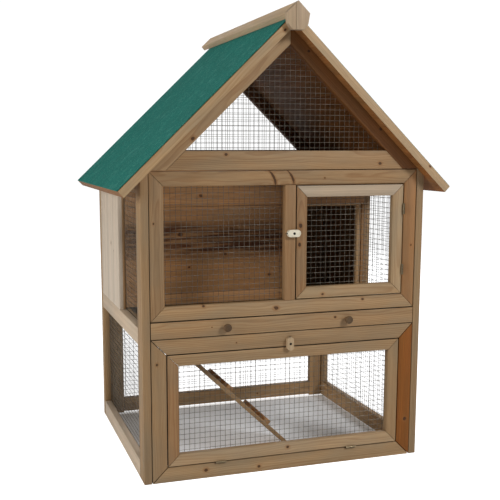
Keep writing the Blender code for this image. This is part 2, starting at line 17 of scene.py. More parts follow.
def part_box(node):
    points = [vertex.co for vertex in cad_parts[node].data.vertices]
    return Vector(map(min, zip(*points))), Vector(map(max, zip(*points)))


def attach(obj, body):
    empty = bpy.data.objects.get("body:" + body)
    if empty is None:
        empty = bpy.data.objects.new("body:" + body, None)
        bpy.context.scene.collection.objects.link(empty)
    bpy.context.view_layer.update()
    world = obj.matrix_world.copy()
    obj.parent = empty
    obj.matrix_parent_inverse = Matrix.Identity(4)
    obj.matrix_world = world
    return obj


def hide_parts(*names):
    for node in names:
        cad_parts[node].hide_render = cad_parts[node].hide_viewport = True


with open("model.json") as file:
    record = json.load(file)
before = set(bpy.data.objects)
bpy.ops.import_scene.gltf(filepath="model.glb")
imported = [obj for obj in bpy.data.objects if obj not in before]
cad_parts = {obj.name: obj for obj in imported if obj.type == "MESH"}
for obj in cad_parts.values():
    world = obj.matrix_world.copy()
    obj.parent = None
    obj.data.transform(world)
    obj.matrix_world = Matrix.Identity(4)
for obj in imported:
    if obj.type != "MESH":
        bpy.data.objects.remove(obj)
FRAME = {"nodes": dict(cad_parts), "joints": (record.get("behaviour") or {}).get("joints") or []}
LOG = logging.getLogger("hutch")
MM = 0.001
GAP_PAINTED_SHADE = 2.9  # how much painted shade darkens a face that lines a narrow gap, where the real darkening of a sawn end is 1
KNOT_SLOTS = 5  # the most knots that one board shows
Plane = tuple[Vector, Vector]  # a point on it, and the normal of the side that is cut off


class Axis(Enum):
    """A direction of the hutch."""

    X = Vector((1.0, 0.0, 0.0))
    Y = Vector((0.0, 1.0, 0.0))
    Z = Vector((0.0, 0.0, 1.0))


class Body(Enum):
    """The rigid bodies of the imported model."""

    HUTCH = "hutch"
    UPPER_DOOR = "upper_door"
    LOWER_DOOR = "lower_door"
    UPPER_BUTTON = "upper_button"
    LOWER_BUTTON = "lower_button"
    DRAWER = "drawer"
    RAMP = "ramp"


class Slot(Enum):
    """The record's material slots."""

    FIR = "fir_wood"
    WIRE = "galvanised_wire"
    HINGE = "hinge_steel"
    FELT = "green_roofing_felt"
    CREAM = "cream_plastic"


class Side(Enum):
    """The left and right of the hutch, as seen from the front."""

    LEFT = -1
    RIGHT = 1

    @property
    def label(self) -> str:
        """The side's name in lower case."""
        return self.name.lower()


# ---- materials ----
def linear(colour: str) -> tuple[float, float, float, float]:
    """Turns an sRGB hex colour to linear light.

    Args:
        colour: such as "#A0B0C0".

    Returns:
        Red, green, blue and an alpha of 1.
    """
    parts = [int(colour[i : i + 2], 16) / 255 for i in (1, 3, 5)]
    lit = [p / 12.92 if p <= 0.04045 else ((p + 0.055) / 1.055) ** 2.4 for p in parts]
    return (*lit, 1.0)


class Graph:
    """One material's nodes."""

    def __init__(self, name: str) -> None:
        """Makes the material, with its Principled shader.

        Args:
            name: the real material's name.
        """
        self.material = bpy.data.materials.new(name)
        self.material.use_nodes = True
        self.tree = self.material.node_tree
        self.shader = self.tree.nodes["Principled BSDF"]

    def add(
        self, kind: str, *inputs: Any, out: int | str = 0, named: dict | None = None, **settings: Any
    ) -> Any:
        """Adds a node with its settings and links.

        Args:
            kind: the node's type, without its ShaderNode prefix.
            inputs: a value or a socket for each input in order. None leaves an input as it is.
            out: the output to return, by number or name.
            named: more inputs, by name.
            settings: the node's own properties.

        Returns:
            The chosen output socket.
        """
        node = self.tree.nodes.new("ShaderNode" + kind)
        for key, value in settings.items():
            setattr(node, key, value)
        pairs = list(zip(node.inputs, inputs))
        pairs += [(node.inputs[key], value) for key, value in (named or {}).items()]
        for socket, value in pairs:
            if isinstance(value, bpy.types.NodeSocket):
                self.tree.links.new(value, socket)
            elif value is not None:
                socket.default_value = value
        return node.outputs[out]

    def dress(self, **inputs: Any) -> bpy.types.Material:
        """Sets the shader's own inputs, with spaces in their names written as underscores.

        Args:
            inputs: a value or a socket for each.

        Returns:
            The finished material.
        """
        for key, value in inputs.items():
            socket = self.shader.inputs[key.replace("_", " ")]
            if isinstance(value, bpy.types.NodeSocket):
                self.tree.links.new(value, socket)
            else:
                socket.default_value = value
        return self.material


@dataclass(frozen=True)
class PlanedFir:
    """Planed fir, left bare outdoors: dry and matte, straight rings a few mm apart, red-brown knots.

    A knot of negative radius is a spike knot, cut lengthwise, which runs right across its board.
    """

    spring_wood: str = "#AC8E67"
    summer_wood: str = "#87613A"
    heartwood: str = "#4C2B10"
    resin: str = "#8E5A28"
    amber: str = "#D99E48"
    # pale grey for weathered wood, also used as a painted sheen on the left side
    bleached: str = "#CBBEAD"
    dust: str = "#8F8168"
    knot_heart: str = "#57381C"
    knot_bark: str = "#2A1508"
    ring_mm: float = 3.0
    fibre_mm: float = 0.7

    def make(self) -> bpy.types.Material:
        """Returns the wood. It reads each board's own grain place, tone and knots."""
        g = Graph("planed_fir")
        place = g.add("Attribute", out="Vector", attribute_name="grain_place")
        place_mm = g.add("VectorMath", place, named={"Scale": 1000.0}, operation="SCALE")
        axes = g.add("SeparateXYZ", place_mm).node
        along, across, through = axes.outputs
        seed = g.add("Attribute", out="Fac", attribute_name="board_seed")
        tone = g.add("SeparateXYZ", g.add("Attribute", out="Vector", attribute_name="board_tone")).node
        light, warm, bold = tone.outputs
        far = g.add("Math", seed, 517.0, operation="MULTIPLY")

        def stretched(x_mm: float, y_mm: float) -> Any:
            """A place whose unit is x_mm along the grain and y_mm across it."""
            return g.add(
                "CombineXYZ",
                g.add("Math", along, 1 / x_mm, operation="MULTIPLY"),
                g.add("Math", g.add("Math", across, far), 1 / y_mm, operation="MULTIPLY"),
                g.add("Math", through, 1 / y_mm, operation="MULTIPLY"),
            )

        ragged = g.add("TexNoise", stretched(9.0, 7.0), None, 1.0, 3.0)
        heart: Any = 0.0
        halo: Any = 0.0
        flow = across
        for number in range(KNOT_SLOTS):
            knot = g.add("Attribute", out="Vector", attribute_name=f"knot_{number}")
            spot = g.add("SeparateXYZ", knot).node
            spike = g.add("Math", spot.outputs[2], 0.0, operation="LESS_THAN")
            dx = g.add("Math", along, spot.outputs[0], operation="SUBTRACT")
            dx = g.add("Math", dx, 0.8, operation="MULTIPLY")
            dy = g.add("Math", across, spot.outputs[1], operation="SUBTRACT")
            lean = g.add("Math", g.add("Math", dy, 0.012, operation="MULTIPLY"), 0.4)
            bend = g.add("Math", g.add("Math", dy, lean, operation="MULTIPLY"), spike, operation="MULTIPLY")
            dx = g.add("Math", dx, bend)
            reach = g.add("Math", dy, g.add("MapRange", spike, 0.0, 1.0, 1.0, 0.15), operation="MULTIPLY")
            away = g.add("VectorMath", g.add("CombineXYZ", dx, reach), out="Value", operation="LENGTH")
            size = g.add("Math", spot.outputs[2], operation="ABSOLUTE")
            size = g.add("Math", size, 0.02, operation="MAXIMUM")
            near = g.add("Math", away, size, operation="DIVIDE")
            near = g.add("Math", near, g.add("MapRange", ragged, 0.3, 0.7, -0.25, 0.25))
            past = g.add("Math", g.add("Math", near, 1.0, operation="SUBTRACT"), 0.0, operation="MAXIMUM")
            push = g.add("Math", math.e, g.add("Math", past, -0.8, operation="MULTIPLY"), operation="POWER")
            flow = g.add("Math", flow, g.add("Math", dy, push, operation="MULTIPLY"), operation="SUBTRACT")
            inside = g.add("MapRange", near, 0.75, 1.1, 1.0, 0.0, interpolation_type="SMOOTHSTEP")
            around = g.add("MapRange", near, 0.9, 2.6, 1.0, 0.0, interpolation_type="SMOOTHSTEP")
            heart = g.add("Math", heart, inside, operation="MAXIMUM")
            halo = g.add("Math", halo, around, operation="MAXIMUM")
        drift = g.add("TexNoise", stretched(260.0, 45.0), None, 1.0, 2.0)
        pith = g.add("Math", g.add("Math", seed, 90.0, operation="MULTIPLY"), 45.0, operation="SUBTRACT")
        depth = g.add("Math", g.add("Math", seed, 60.0, operation="PINGPONG"), 26.0)
        out_of_pith = g.add(
            "VectorMath",
            g.add(
                "CombineXYZ",
                g.add("Math", flow, pith, operation="SUBTRACT"),
                g.add("Math", through, depth),
            ),
            out="Value",
            operation="LENGTH",
        )
        wander = g.add("MapRange", drift, 0.0, 1.0, -8.0, 8.0)
        rings = g.add("Math", g.add("Math", out_of_pith, wander), 1 / self.ring_mm, operation="MULTIPLY")
        turn = g.add("Math", rings, operation="FRACT")
        late = g.add("MapRange", turn, 0.35, 0.92, 0.0, 1.0, interpolation_type="SMOOTHSTEP")
        early = g.add("MapRange", turn, 0.92, 1.0, 1.0, 0.0)
        late = g.add("Math", late, early, operation="MULTIPLY")
        fibre = g.add("TexNoise", stretched(42.0, self.fibre_mm * 2.0), None, 1.0, 3.0, 0.6)
        cloud = g.add("TexNoise", stretched(120.0, 38.0), None, 1.0, 3.0)
        strength = g.add("Math", g.add("Math", late, 0.5, operation="MULTIPLY"), bold, operation="MULTIPLY")
        wood = g.add("MixRGB", strength, linear(self.spring_wood), linear(self.summer_wood))
        fibrous = g.add("MapRange", fibre, 0.35, 0.75, 0.0, 0.35)
        wood = g.add("MixRGB", fibrous, wood, linear(self.summer_wood))
        dusty = g.add("MapRange", cloud, 0.4, 0.75, 0.0, 0.55)
        wood = g.add("MixRGB", dusty, wood, linear(self.dust))
        band = g.add("TexNoise", stretched(340.0, 30.0), None, 1.0, 3.0, 0.6)
        streak = g.add("MapRange", band, 0.46, 0.62, 0.0, 1.0, interpolation_type="SMOOTHSTEP")
        bolder = g.add("Math", bold, 1.0, operation="SUBTRACT", use_clamp=True)
        streak = g.add("Math", streak, bolder, operation="MULTIPLY")
        core = g.add("SeparateXYZ", g.add("Attribute", out="Vector", attribute_name="heart_band")).node
        sway = g.add("MapRange", drift, 0.0, 1.0, -26.0, 26.0)
        off = g.add("Math", g.add("Math", across, sway), core.outputs[0], operation="SUBTRACT")
        off = g.add("Math", g.add("Math", off, operation="ABSOLUTE"), core.outputs[1], operation="DIVIDE")
        core_share = g.add("MapRange", off, 0.55, 1.3, 1.0, 0.0, interpolation_type="SMOOTHSTEP")
        tongues = g.add("TexNoise", stretched(150.0, 9.0), None, 1.0, 4.0, 0.65)
        tongues = g.add("MapRange", tongues, 0.40, 0.56, 0.12, 1.0)
        core_share = g.add("Math", core_share, tongues, operation="MULTIPLY")
        core_share = g.add("Math", core_share, core.outputs[2], operation="MULTIPLY")
        streak = g.add("Math", streak, core_share, operation="MAXIMUM")
        wood = g.add("MixRGB", streak, wood, linear(self.heartwood))
        # A negative warm mixes in the pale grey: weathered wood, and on the left side also a painted sheen.
        aged_and_sheen = g.add("Math", warm, -1.0, operation="MULTIPLY", use_clamp=True)
        wood = g.add("MixRGB", aged_and_sheen, wood, linear(self.bleached))
        warmed = g.add("Math", warm, 0.0, operation="MAXIMUM")
        wood = g.add("MixRGB", warmed, wood, linear(self.amber), blend_type="MULTIPLY")
        wood = g.add("MixRGB", g.add("Math", halo, 0.45, operation="MULTIPLY"), wood, linear(self.resin))
        bark = g.add("MixRGB", ragged, linear(self.knot_heart), linear(self.knot_bark))
        wood = g.add("MixRGB", g.add("Math", heart, 0.92, operation="MULTIPLY"), wood, bark)
        # Darkens sawn ends for their end grain, and much more the faces that line narrow gaps: that part is
        # painted shade.
        end = g.add("Attribute", out="Fac", attribute_name="end_grain")
        shade = g.add("Math", light, g.add("MapRange", end, 0.0, 3.0, 1.0, 0.16), operation="MULTIPLY")
        broad = g.add("TexNoise", stretched(420.0, 14.0), None, 1.0, 2.0)
        shade = g.add("Math", shade, g.add("MapRange", broad, 0.3, 0.7, 0.86, 1.12), operation="MULTIPLY")
        grey = g.add("CombineXYZ", shade, shade, shade)
        wood = g.add("MixRGB", 1.0, wood, grey, blend_type="MULTIPLY")
        relief = g.add("Math", g.add("Math", late, 0.6, operation="MULTIPLY"), fibre)
        bump = g.add("Bump", named={"Strength": 0.35, "Distance": 0.25 * MM, "Height": relief})
        rough = g.add("MapRange", fibre, 0.3, 0.7, 0.52, 0.7)
        return g.dress(Base_Color=wood, Roughness=rough, Normal=bump, Specular_IOR_Level=0.3)


@dataclass(frozen=True)
class GalvanisedWire:
    """Welded wire dipped in zinc: a dull silver skin, cloudier where the zinc has dulled."""

    zinc: str = "#857F74"
    dull_zinc: str = "#5B564D"
    cloud_mm: float = 18.0

    def make(self) -> bpy.types.Material:
        """Returns the metal."""
        g = Graph("hot_dip_galvanised_wire")
        place = g.add("TexCoord", out="Object")
        cloud = g.add("TexNoise", place, None, 1 / (self.cloud_mm * MM), 3.0, 0.6)
        dulled = g.add("MapRange", cloud, 0.35, 0.7)
        colour = g.add("MixRGB", dulled, linear(self.zinc), linear(self.dull_zinc))
        rough = g.add("MapRange", cloud, 0.3, 0.7, 0.5, 0.7)
        return g.dress(Base_Color=colour, Roughness=rough, Metallic=1.0)


@dataclass(frozen=True)
class ZincPlate:
    """Yellow-passivated zinc plate on pressed steel: pale brass tint, faintly rainbowed, with dull specks."""

    colour: str = "#7E7058"
    speck: str = "#4A4030"
    speck_mm: float = 1.6

    def make(self) -> bpy.types.Material:
        """Returns the metal."""
        g = Graph("yellow_zinc_plated_steel")
        place = g.add("TexCoord", out="Object")
        specks = g.add("TexNoise", place, None, 1 / (self.speck_mm * MM), 2.0, 0.7)
        share = g.add("MapRange", specks, 0.55, 0.75, 0.0, 0.8)
        colour = g.add("MixRGB", share, linear(self.colour), linear(self.speck))
        rough = g.add("MapRange", specks, 0.3, 0.8, 0.3, 0.6)
        return g.dress(Base_Color=colour, Roughness=rough, Metallic=1.0)


@dataclass(frozen=True)
class MineralFelt:
    """Bitumen roofing felt faced with green slate grit: matte, gritty, patchy where grit has thinned.

    The real grit is under 1 mm. It is drawn 2 mm across so that it shows.
    """

    green: str = "#1D7D70"
    deep_green: str = "#12594F"
    pale_grit: str = "#62A79A"
    grit_mm: float = 2.0
    patch_mm: float = 90.0
    scuff_mm: float = 28.0

    def make(self) -> bpy.types.Material:
        """Returns the felt."""
        g = Graph("green_mineral_felt")
        place = g.add("TexCoord", out="Object")
        grit = g.add("TexVoronoi", place, None, 1 / (self.grit_mm * MM), out="Color")
        grain = g.add("SeparateXYZ", grit)
        fine = g.add("TexNoise", place, None, 0.7 / (self.grit_mm * MM), 2.0, 0.7)
        patch = g.add("TexNoise", place, None, 1 / (self.patch_mm * MM), 4.0, 0.6)
        lit = g.add("MapRange", fine, 0.3, 0.7)
        green = g.add("MixRGB", lit, linear(self.deep_green), linear(self.green))
        damp = g.add("MapRange", patch, 0.35, 0.7, 0.0, 0.4)
        green = g.add("MixRGB", damp, green, linear(self.deep_green))
        worn = g.add("TexNoise", place, None, 1 / (self.scuff_mm * MM), 4.0, 0.7)
        scuffed = g.add("MapRange", worn, 0.52, 0.72, 0.0, 0.28)
        green = g.add("MixRGB", scuffed, green, linear(self.pale_grit))
        pale = g.add("MapRange", grain, 0.86, 1.0, 0.0, 0.5)
        green = g.add("MixRGB", pale, green, linear(self.pale_grit))
        relief = g.add("Math", grain, fine)
        bump = g.add("Bump", named={"Strength": 0.5, "Distance": 0.5 * MM, "Height": relief})
        return g.dress(Base_Color=green, Roughness=0.88, Normal=bump, Specular_IOR_Level=0.25)


@dataclass(frozen=True)
class MouldedPlastic:
    """Moulded polypropylene with a faint sheen, a little soiled in its low places."""

    name: str = "cream_polypropylene"
    colour: str = "#E6DCC4"
    soiled: str = "#B7A98A"
    cloud_mm: float = 6.0

    def make(self) -> bpy.types.Material:
        """Returns the plastic."""
        g = Graph(self.name)
        place = g.add("TexCoord", out="Object")
        cloud = g.add("TexNoise", place, None, 1 / (self.cloud_mm * MM), 3.0)
        share = g.add("MapRange", cloud, 0.5, 0.8, 0.0, 0.6)
        colour = g.add("MixRGB", share, linear(self.colour), linear(self.soiled))
        return g.dress(Base_Color=colour, Roughness=g.add("MapRange", cloud, 0.3, 0.7, 0.35, 0.5))


@dataclass
class Finishes:
    """Every finish of the hutch, made once."""

    fir: bpy.types.Material = field(default_factory=lambda: PlanedFir().make())
    wire: bpy.types.Material = field(default_factory=lambda: GalvanisedWire().make())
    hinge: bpy.types.Material = field(default_factory=lambda: ZincPlate().make())
    felt: bpy.types.Material = field(default_factory=lambda: MineralFelt().make())
    cream: bpy.types.Material = field(default_factory=lambda: MouldedPlastic().make())
    black: bpy.types.Material = field(
        default_factory=lambda: ZincPlate(colour="#2A2724", speck="#15130F", speck_mm=1.0).make()
    )

    def of(self, slot: Slot) -> bpy.types.Material:
        """Returns the finish of a material slot."""
        return {
            Slot.FIR: self.fir,
            Slot.WIRE: self.wire,
            Slot.HINGE: self.hinge,
            Slot.FELT: self.felt,
            Slot.CREAM: self.cream,
        }[slot]


# ---- bench work ----
def only(*pieces: bpy.types.Object) -> None:
    """Selects these pieces and nothing else, with the first one active."""
    bpy.ops.object.select_all(action="DESELECT")
    for piece in pieces:
        piece.select_set(True)
    bpy.context.view_layer.objects.active = pieces[0]


def block(name: str, size: Vector, place: Matrix) -> bpy.types.Object:
    """A sawn block.

    Args:
        name: the piece's name.
        size: its length, width and thickness.
        place: from the block's own axes, at its centre, to the hutch.

    Returns:
        The block, with its place in its mesh.
    """
    bpy.ops.object.select_all(action="DESELECT")
    bpy.ops.mesh.primitive_cube_add(size=1.0)
    made = bpy.context.object
    made.name = name
    made.matrix_world = place @ Matrix.Diagonal((*size, 1.0))
    bpy.ops.object.transform_apply(location=True, rotation=True, scale=True)
    return made


def saw(piece: bpy.types.Object, cuts: Sequence[Plane]) -> None:
    """Saws a piece along planes, and closes each cut."""
    if not cuts:
        return
    only(piece)
    bpy.ops.object.mode_set(mode="EDIT")
    for point, normal in cuts:
        bpy.ops.mesh.select_all(action="SELECT")
        bpy.ops.mesh.bisect(plane_co=point, plane_no=normal, use_fill=True, clear_outer=True)
    bpy.ops.object.mode_set(mode="OBJECT")


def shape(piece: bpy.types.Object, kind: str, **settings: Any) -> None:
    """Adds a modifier and applies it."""
    only(piece)
    modifier = piece.modifiers.new(kind.lower(), kind)
    for key, value in settings.items():
        setattr(modifier, key, value)
    bpy.ops.object.modifier_apply(modifier=modifier.name)


def ease(piece: bpy.types.Object, width: float, segments: int = 2, angle: float = 30.0) -> None:
    """Rounds a piece's sharp edges and smooths its shading."""
    shape(
        piece,
        "BEVEL",
        width=width,
        segments=segments,
        limit_method="ANGLE",
        angle_limit=math.radians(angle),
        use_clamp_overlap=True,
    )
    only(piece)
    bpy.ops.object.shade_smooth_by_angle(angle=math.radians(32))


def gather(name: str, pieces: Sequence[bpy.types.Object]) -> bpy.types.Object:
    """Joins pieces into one, and names it."""
    only(*pieces)
    if len(pieces) > 1:
        bpy.ops.object.join()
    made = bpy.context.view_layer.objects.active
    made.name = name
    return made


def turned(
    name: str, seat: Vector, profile: Sequence[tuple[float, float]], sides: int = 28
) -> bpy.types.Object:
    """A piece turned on a lathe, standing forward from its seat.

    Args:
        name: the piece's name.
        seat: the middle of its foot.
        profile: pairs of radius and distance forward from the seat. The first and last are closed.
        sides: how many faces it has round it.

    Returns:
        The turned piece.
    """
    bpy.ops.object.select_all(action="DESELECT")
    radius, forward = profile[0]
    bpy.ops.mesh.primitive_circle_add(
        vertices=sides,
        radius=radius,
        fill_type="NGON",
        location=seat - Vector((0.0, forward, 0.0)),
        rotation=(math.pi / 2, 0.0, 0.0),
    )
    made = bpy.context.object
    made.name = name
    bpy.ops.object.transform_apply(location=True, rotation=True, scale=True)
    bpy.ops.object.mode_set(mode="EDIT")
    bpy.ops.mesh.select_all(action="SELECT")
    for next_radius, next_forward in profile[1:]:
        bpy.ops.mesh.extrude_region_move(TRANSFORM_OT_translate={"value": (0.0, forward - next_forward, 0.0)})
        share = next_radius / radius
        centre = seat - Vector((0.0, next_forward, 0.0))
        bpy.ops.transform.resize(value=(share, 1.0, share), center_override=centre)
        radius, forward = next_radius, next_forward
    bpy.ops.mesh.select_all(action="SELECT")
    bpy.ops.mesh.normals_make_consistent(inside=False)
    bpy.ops.object.mode_set(mode="OBJECT")
    only(made)
    bpy.ops.object.shade_smooth_by_angle(angle=math.radians(40))
    return made


def label_mesh(piece: bpy.types.Object, name: str, kind: str, domain: str, values: Sequence[Any]) -> None:
    """Stores one value for each point or face of a mesh.

    Args:
        piece: the object.
        name: the attribute's name.
        kind: FLOAT or FLOAT_VECTOR.
        domain: POINT or FACE.
        values: one number or vector for each.
    """
    layer = piece.data.attributes.new(name, kind, domain)
    if kind == "FLOAT":
        layer.data.foreach_set("value", list(values))
    else:
        layer.data.foreach_set("vector", [part for value in values for part in value])


@dataclass(frozen=True)
class Knot:
    """A knot: where it shows, in metres in the hutch, and its radius in mm, negative for a spike."""

    x: float
    y: float
    z: float
    radius: float


@dataclass
class Board:
    """One planed board, with its own grain, tone and knots."""

    name: str
    low: Vector
    high: Vector
    grain: Axis
    light: float = 1.0
    warm: float = 0.0
    bold: float = 1.0
    knots: Sequence[Knot] = ()
    cuts: Sequence[Plane] = ()
    tilt: Matrix | None = None
    eased: float = 0.8 * MM
    wild_knots: float = 0.5  # how many random knots each half metre of a board has
    gaps: Sequence[Vector] = ()  # the directions of faces that line a narrow gap; those faces are darkened with painted shade
    heart: tuple[float, float, float] = (0.0, 1.0, 0.0)  # heartwood: off the middle, half width, strength

    def place(self) -> tuple[Matrix, Vector]:
        """Returns the board's own axes (along, across, through) at its centre, and its size on them."""
        span = self.high - self.low
        lengths = {axis: abs(span.dot(axis.value)) for axis in Axis}
        others = sorted((a for a in Axis if a is not self.grain), key=lambda a: -lengths[a])
        along, across = self.grain.value, others[0].value
        through = along.cross(across)
        turn = Matrix((along, across, through)).transposed().to_4x4()
        at = Matrix.Translation((self.low + self.high) / 2) @ turn
        size = Vector((lengths[self.grain], lengths[others[0]], lengths[others[1]]))
        return (self.tilt @ at if self.tilt else at), size

    def build(self) -> bpy.types.Object:
        """Returns the board, sawn, eased and marked with its grain."""
        place, size = self.place()
        made = block(self.name, size, place)
        saw(made, self.cuts)
        ease(made, self.eased)
        self.mark(made, place, size)
        return made

    def mark(self, made: bpy.types.Object, place: Matrix, size: Vector) -> None:
        """Stores the grain's place, the tone, the end grain with the painted shade of narrow gaps, and the
        knots in the mesh.

        Args:
            made: the board.
            place: its own axes at its centre.
            size: its size on them.
        """
        chance = random.Random(self.name)
        back = place.inverted()
        mesh = made.data
        label_mesh(made, "grain_place", "FLOAT_VECTOR", "POINT", [back @ v.co for v in mesh.vertices])
        along = (place.to_3x3() @ Vector((1.0, 0.0, 0.0))).normalized()
        ends = [1.0 if abs(face.normal.dot(along)) > 0.6 else 0.0 for face in mesh.polygons]
        # Sawn ends get 1 for their darker end grain; faces that line a narrow gap get a larger value, a
        # painted shade in the gap.
        for number, face in enumerate(mesh.polygons):
            if any(face.normal.dot(way) > 0.6 for way in self.gaps):
                ends[number] = GAP_PAINTED_SHADE
        label_mesh(made, "end_grain", "FLOAT", "FACE", ends)
        points = len(mesh.vertices)
        label_mesh(made, "board_seed", "FLOAT", "POINT", [chance.random()] * points)
        tone = (self.light * chance.uniform(0.95, 1.05), self.warm + chance.uniform(-0.1, 0.1), self.bold)
        label_mesh(made, "board_tone", "FLOAT_VECTOR", "POINT", [tone] * points)
        core = (self.heart[0] * 1000, self.heart[1] * 1000, self.heart[2])
        label_mesh(made, "heart_band", "FLOAT_VECTOR", "POINT", [core] * points)
        spots = [(back @ Vector((k.x, k.y, k.z))) * 1000 for k in self.knots]
        spots = [(s.x, s.y, k.radius) for s, k in zip(spots, self.knots)]
        wild = int(self.wild_knots * size.x / 0.5 + chance.random())
        for _ in range(min(wild, 3 - len(spots)) if len(spots) < 3 else 0):
            half_x, half_y = size.x * 500, size.y * 500
            radius = chance.uniform(1.6, 3.6)
            spots.append((chance.uniform(-0.9, 0.9) * half_x, chance.uniform(-0.7, 0.7) * half_y, radius))
        for number in range(KNOT_SLOTS):
            spot = spots[number] if number < len(spots) else (0.0, 9000.0, 0.0)
            label_mesh(made, f"knot_{number}", "FLOAT_VECTOR", "POINT", [spot] * points)


@dataclass
class WirePanel:
    """A panel of welded mesh: round wires both ways, welded where they cross, never quite flat."""

    name: str
    low: Vector
    high: Vector
    cuts: Sequence[Plane] = ()
    pitch: float = 12.7 * MM
    radius: float = 0.5 * MM
    wave: float = 0.7 * MM
    step: float = 30.0 * MM

    def build(self) -> bpy.types.Object:
        """Returns the panel as one mesh."""
        span = self.high - self.low
        thin = min(Axis, key=lambda axis: abs(span.dot(axis.value)))
        ways = [axis for axis in Axis if axis is not thin]
        rows = [self.row(ways[0], ways[1], thin, -0.45), self.row(ways[1], ways[0], thin, 0.45)]
        made = gather(self.name, rows)
        saw(made, self.cuts)
        warp = bpy.data.textures.get("mesh_warp") or bpy.data.textures.new("mesh_warp", "CLOUDS")
        warp.noise_scale = 0.11
        for way, strength in ((thin, 0.8), (ways[0], 0.7), (ways[1], 0.7)):
            shape(
                made,
                "DISPLACE",
                texture=warp,
                texture_coords="LOCAL",
                direction=way.name,
                strength=self.wave * strength,
                mid_level=0.5,
            )
        only(made)
        bpy.ops.object.shade_smooth_by_angle(angle=math.radians(70))
        return made

    def row(self, along: Axis, across: Axis, thin: Axis, layer: float) -> bpy.types.Object:
        """One set of parallel wires.

        Args:
            along: the wires' direction.
            across: the direction in which they repeat.
            thin: the direction through the panel.
            layer: how far they lie from the panel's middle, in wire diameters.

        Returns:
            The wires, as one mesh.
        """
        length = (self.high - self.low).dot(along.value)
        width = (self.high - self.low).dot(across.value)
        count = int((width - 2 * self.radius) / self.pitch) + 1
        first = (width - (count - 1) * self.pitch) / 2
        centre = (self.low + self.high) / 2
        at = (
            along.value * centre.dot(along.value)
            + across.value * (self.low.dot(across.value) + first)
            + thin.value * (centre.dot(thin.value) + layer * 2 * self.radius)
        )
        quarter = math.pi / 2
        turn = {Axis.X: (0.0, quarter, 0.0), Axis.Y: (quarter, 0.0, 0.0), Axis.Z: (0.0, 0.0, 0.0)}[along]
        bpy.ops.object.select_all(action="DESELECT")
        bpy.ops.mesh.primitive_cylinder_add(
            vertices=6, radius=self.radius, depth=length, location=at, rotation=turn
        )
        made = bpy.context.object
        bpy.ops.object.transform_apply(location=True, rotation=True, scale=True)
        bpy.ops.object.mode_set(mode="EDIT")
        bpy.ops.mesh.select_all(action="DESELECT")
        bpy.ops.object.mode_set(mode="OBJECT")
        for edge in made.data.edges:
            a, b = (made.data.vertices[i].co for i in edge.vertices)
            edge.select = abs((a - b).dot(along.value)) > length / 2
        bpy.ops.object.mode_set(mode="EDIT")
        bpy.ops.mesh.subdivide(number_cuts=max(2, round(length / self.step)))
        bpy.ops.object.mode_set(mode="OBJECT")
        shape(
            made,
            "ARRAY",
            count=count,
            use_relative_offset=False,
            use_constant_offset=True,
            constant_offset_displace=across.value * self.pitch,
        )
        return made


# ---- sub-assemblies ----
@dataclass
class SubAssembly:
    """What every part of the hutch shares: its finishes, and how a piece is hung on a body."""

    finishes: Finishes
    count: int = 0

    def hang(
        self,
        piece: bpy.types.Object,
        body: Body,
        slot: Slot,
        *nodes: str,
        finish: bpy.types.Material | None = None,
    ) -> bpy.types.Object:
        """Finishes a piece and hangs it on a body.

        Args:
            piece: the piece, in its place.
            body: the body it moves with.
            slot: the record's material slot.
            nodes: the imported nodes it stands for.
            finish: its material, when it isn't the slot's own.

        Returns:
            The piece.
        """
        piece.data.materials.clear()
        piece.data.materials.append(finish or self.finishes.of(slot))
        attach(piece, body.value)
        if nodes:
            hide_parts(*nodes)
        self.count += 1
        LOG.info("%s rides on %s", piece.name, body.value)
        return piece

    def board(self, node: str, grain: Axis, body: Body = Body.HUTCH, **looks: Any) -> None:
        """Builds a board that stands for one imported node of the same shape."""
        low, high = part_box(node)
        self.hang(Board(f"{node}_board", low, high, grain, **looks).build(), body, Slot.FIR, node)

    def wire(self, node: str, body: Body = Body.HUTCH, cuts: Sequence[Plane] = ()) -> None:
        """Builds the welded mesh that stands for one packed wire node."""
        low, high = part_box(node)
        self.hang(WirePanel(f"{node}_mesh", low, high, cuts).build(), body, Slot.WIRE, node)

    def mitred(self, node: str, stock: float, body: Body, looks: dict[str, dict], **shared: Any) -> None:
        """Builds the four mitred boards of a frame, with no knots but those that their looks name.

        Args:
            node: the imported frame.
            stock: the boards' face width.
            body: the body it moves with.
            looks: the looks of the boards named bottom, top, left and right.
            shared: the gap in the mitres, and the bevels along the inner and outer edges.
        """
        low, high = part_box(node)
        for number, part in enumerate(("bottom", "top", "left", "right")):
            own = {"wild_knots": 0.0, **looks[part]}
            made = mitred_board(f"{node}_{part}", low, high, stock, part, own, **shared)
            self.hang(made, body, Slot.FIR, node)


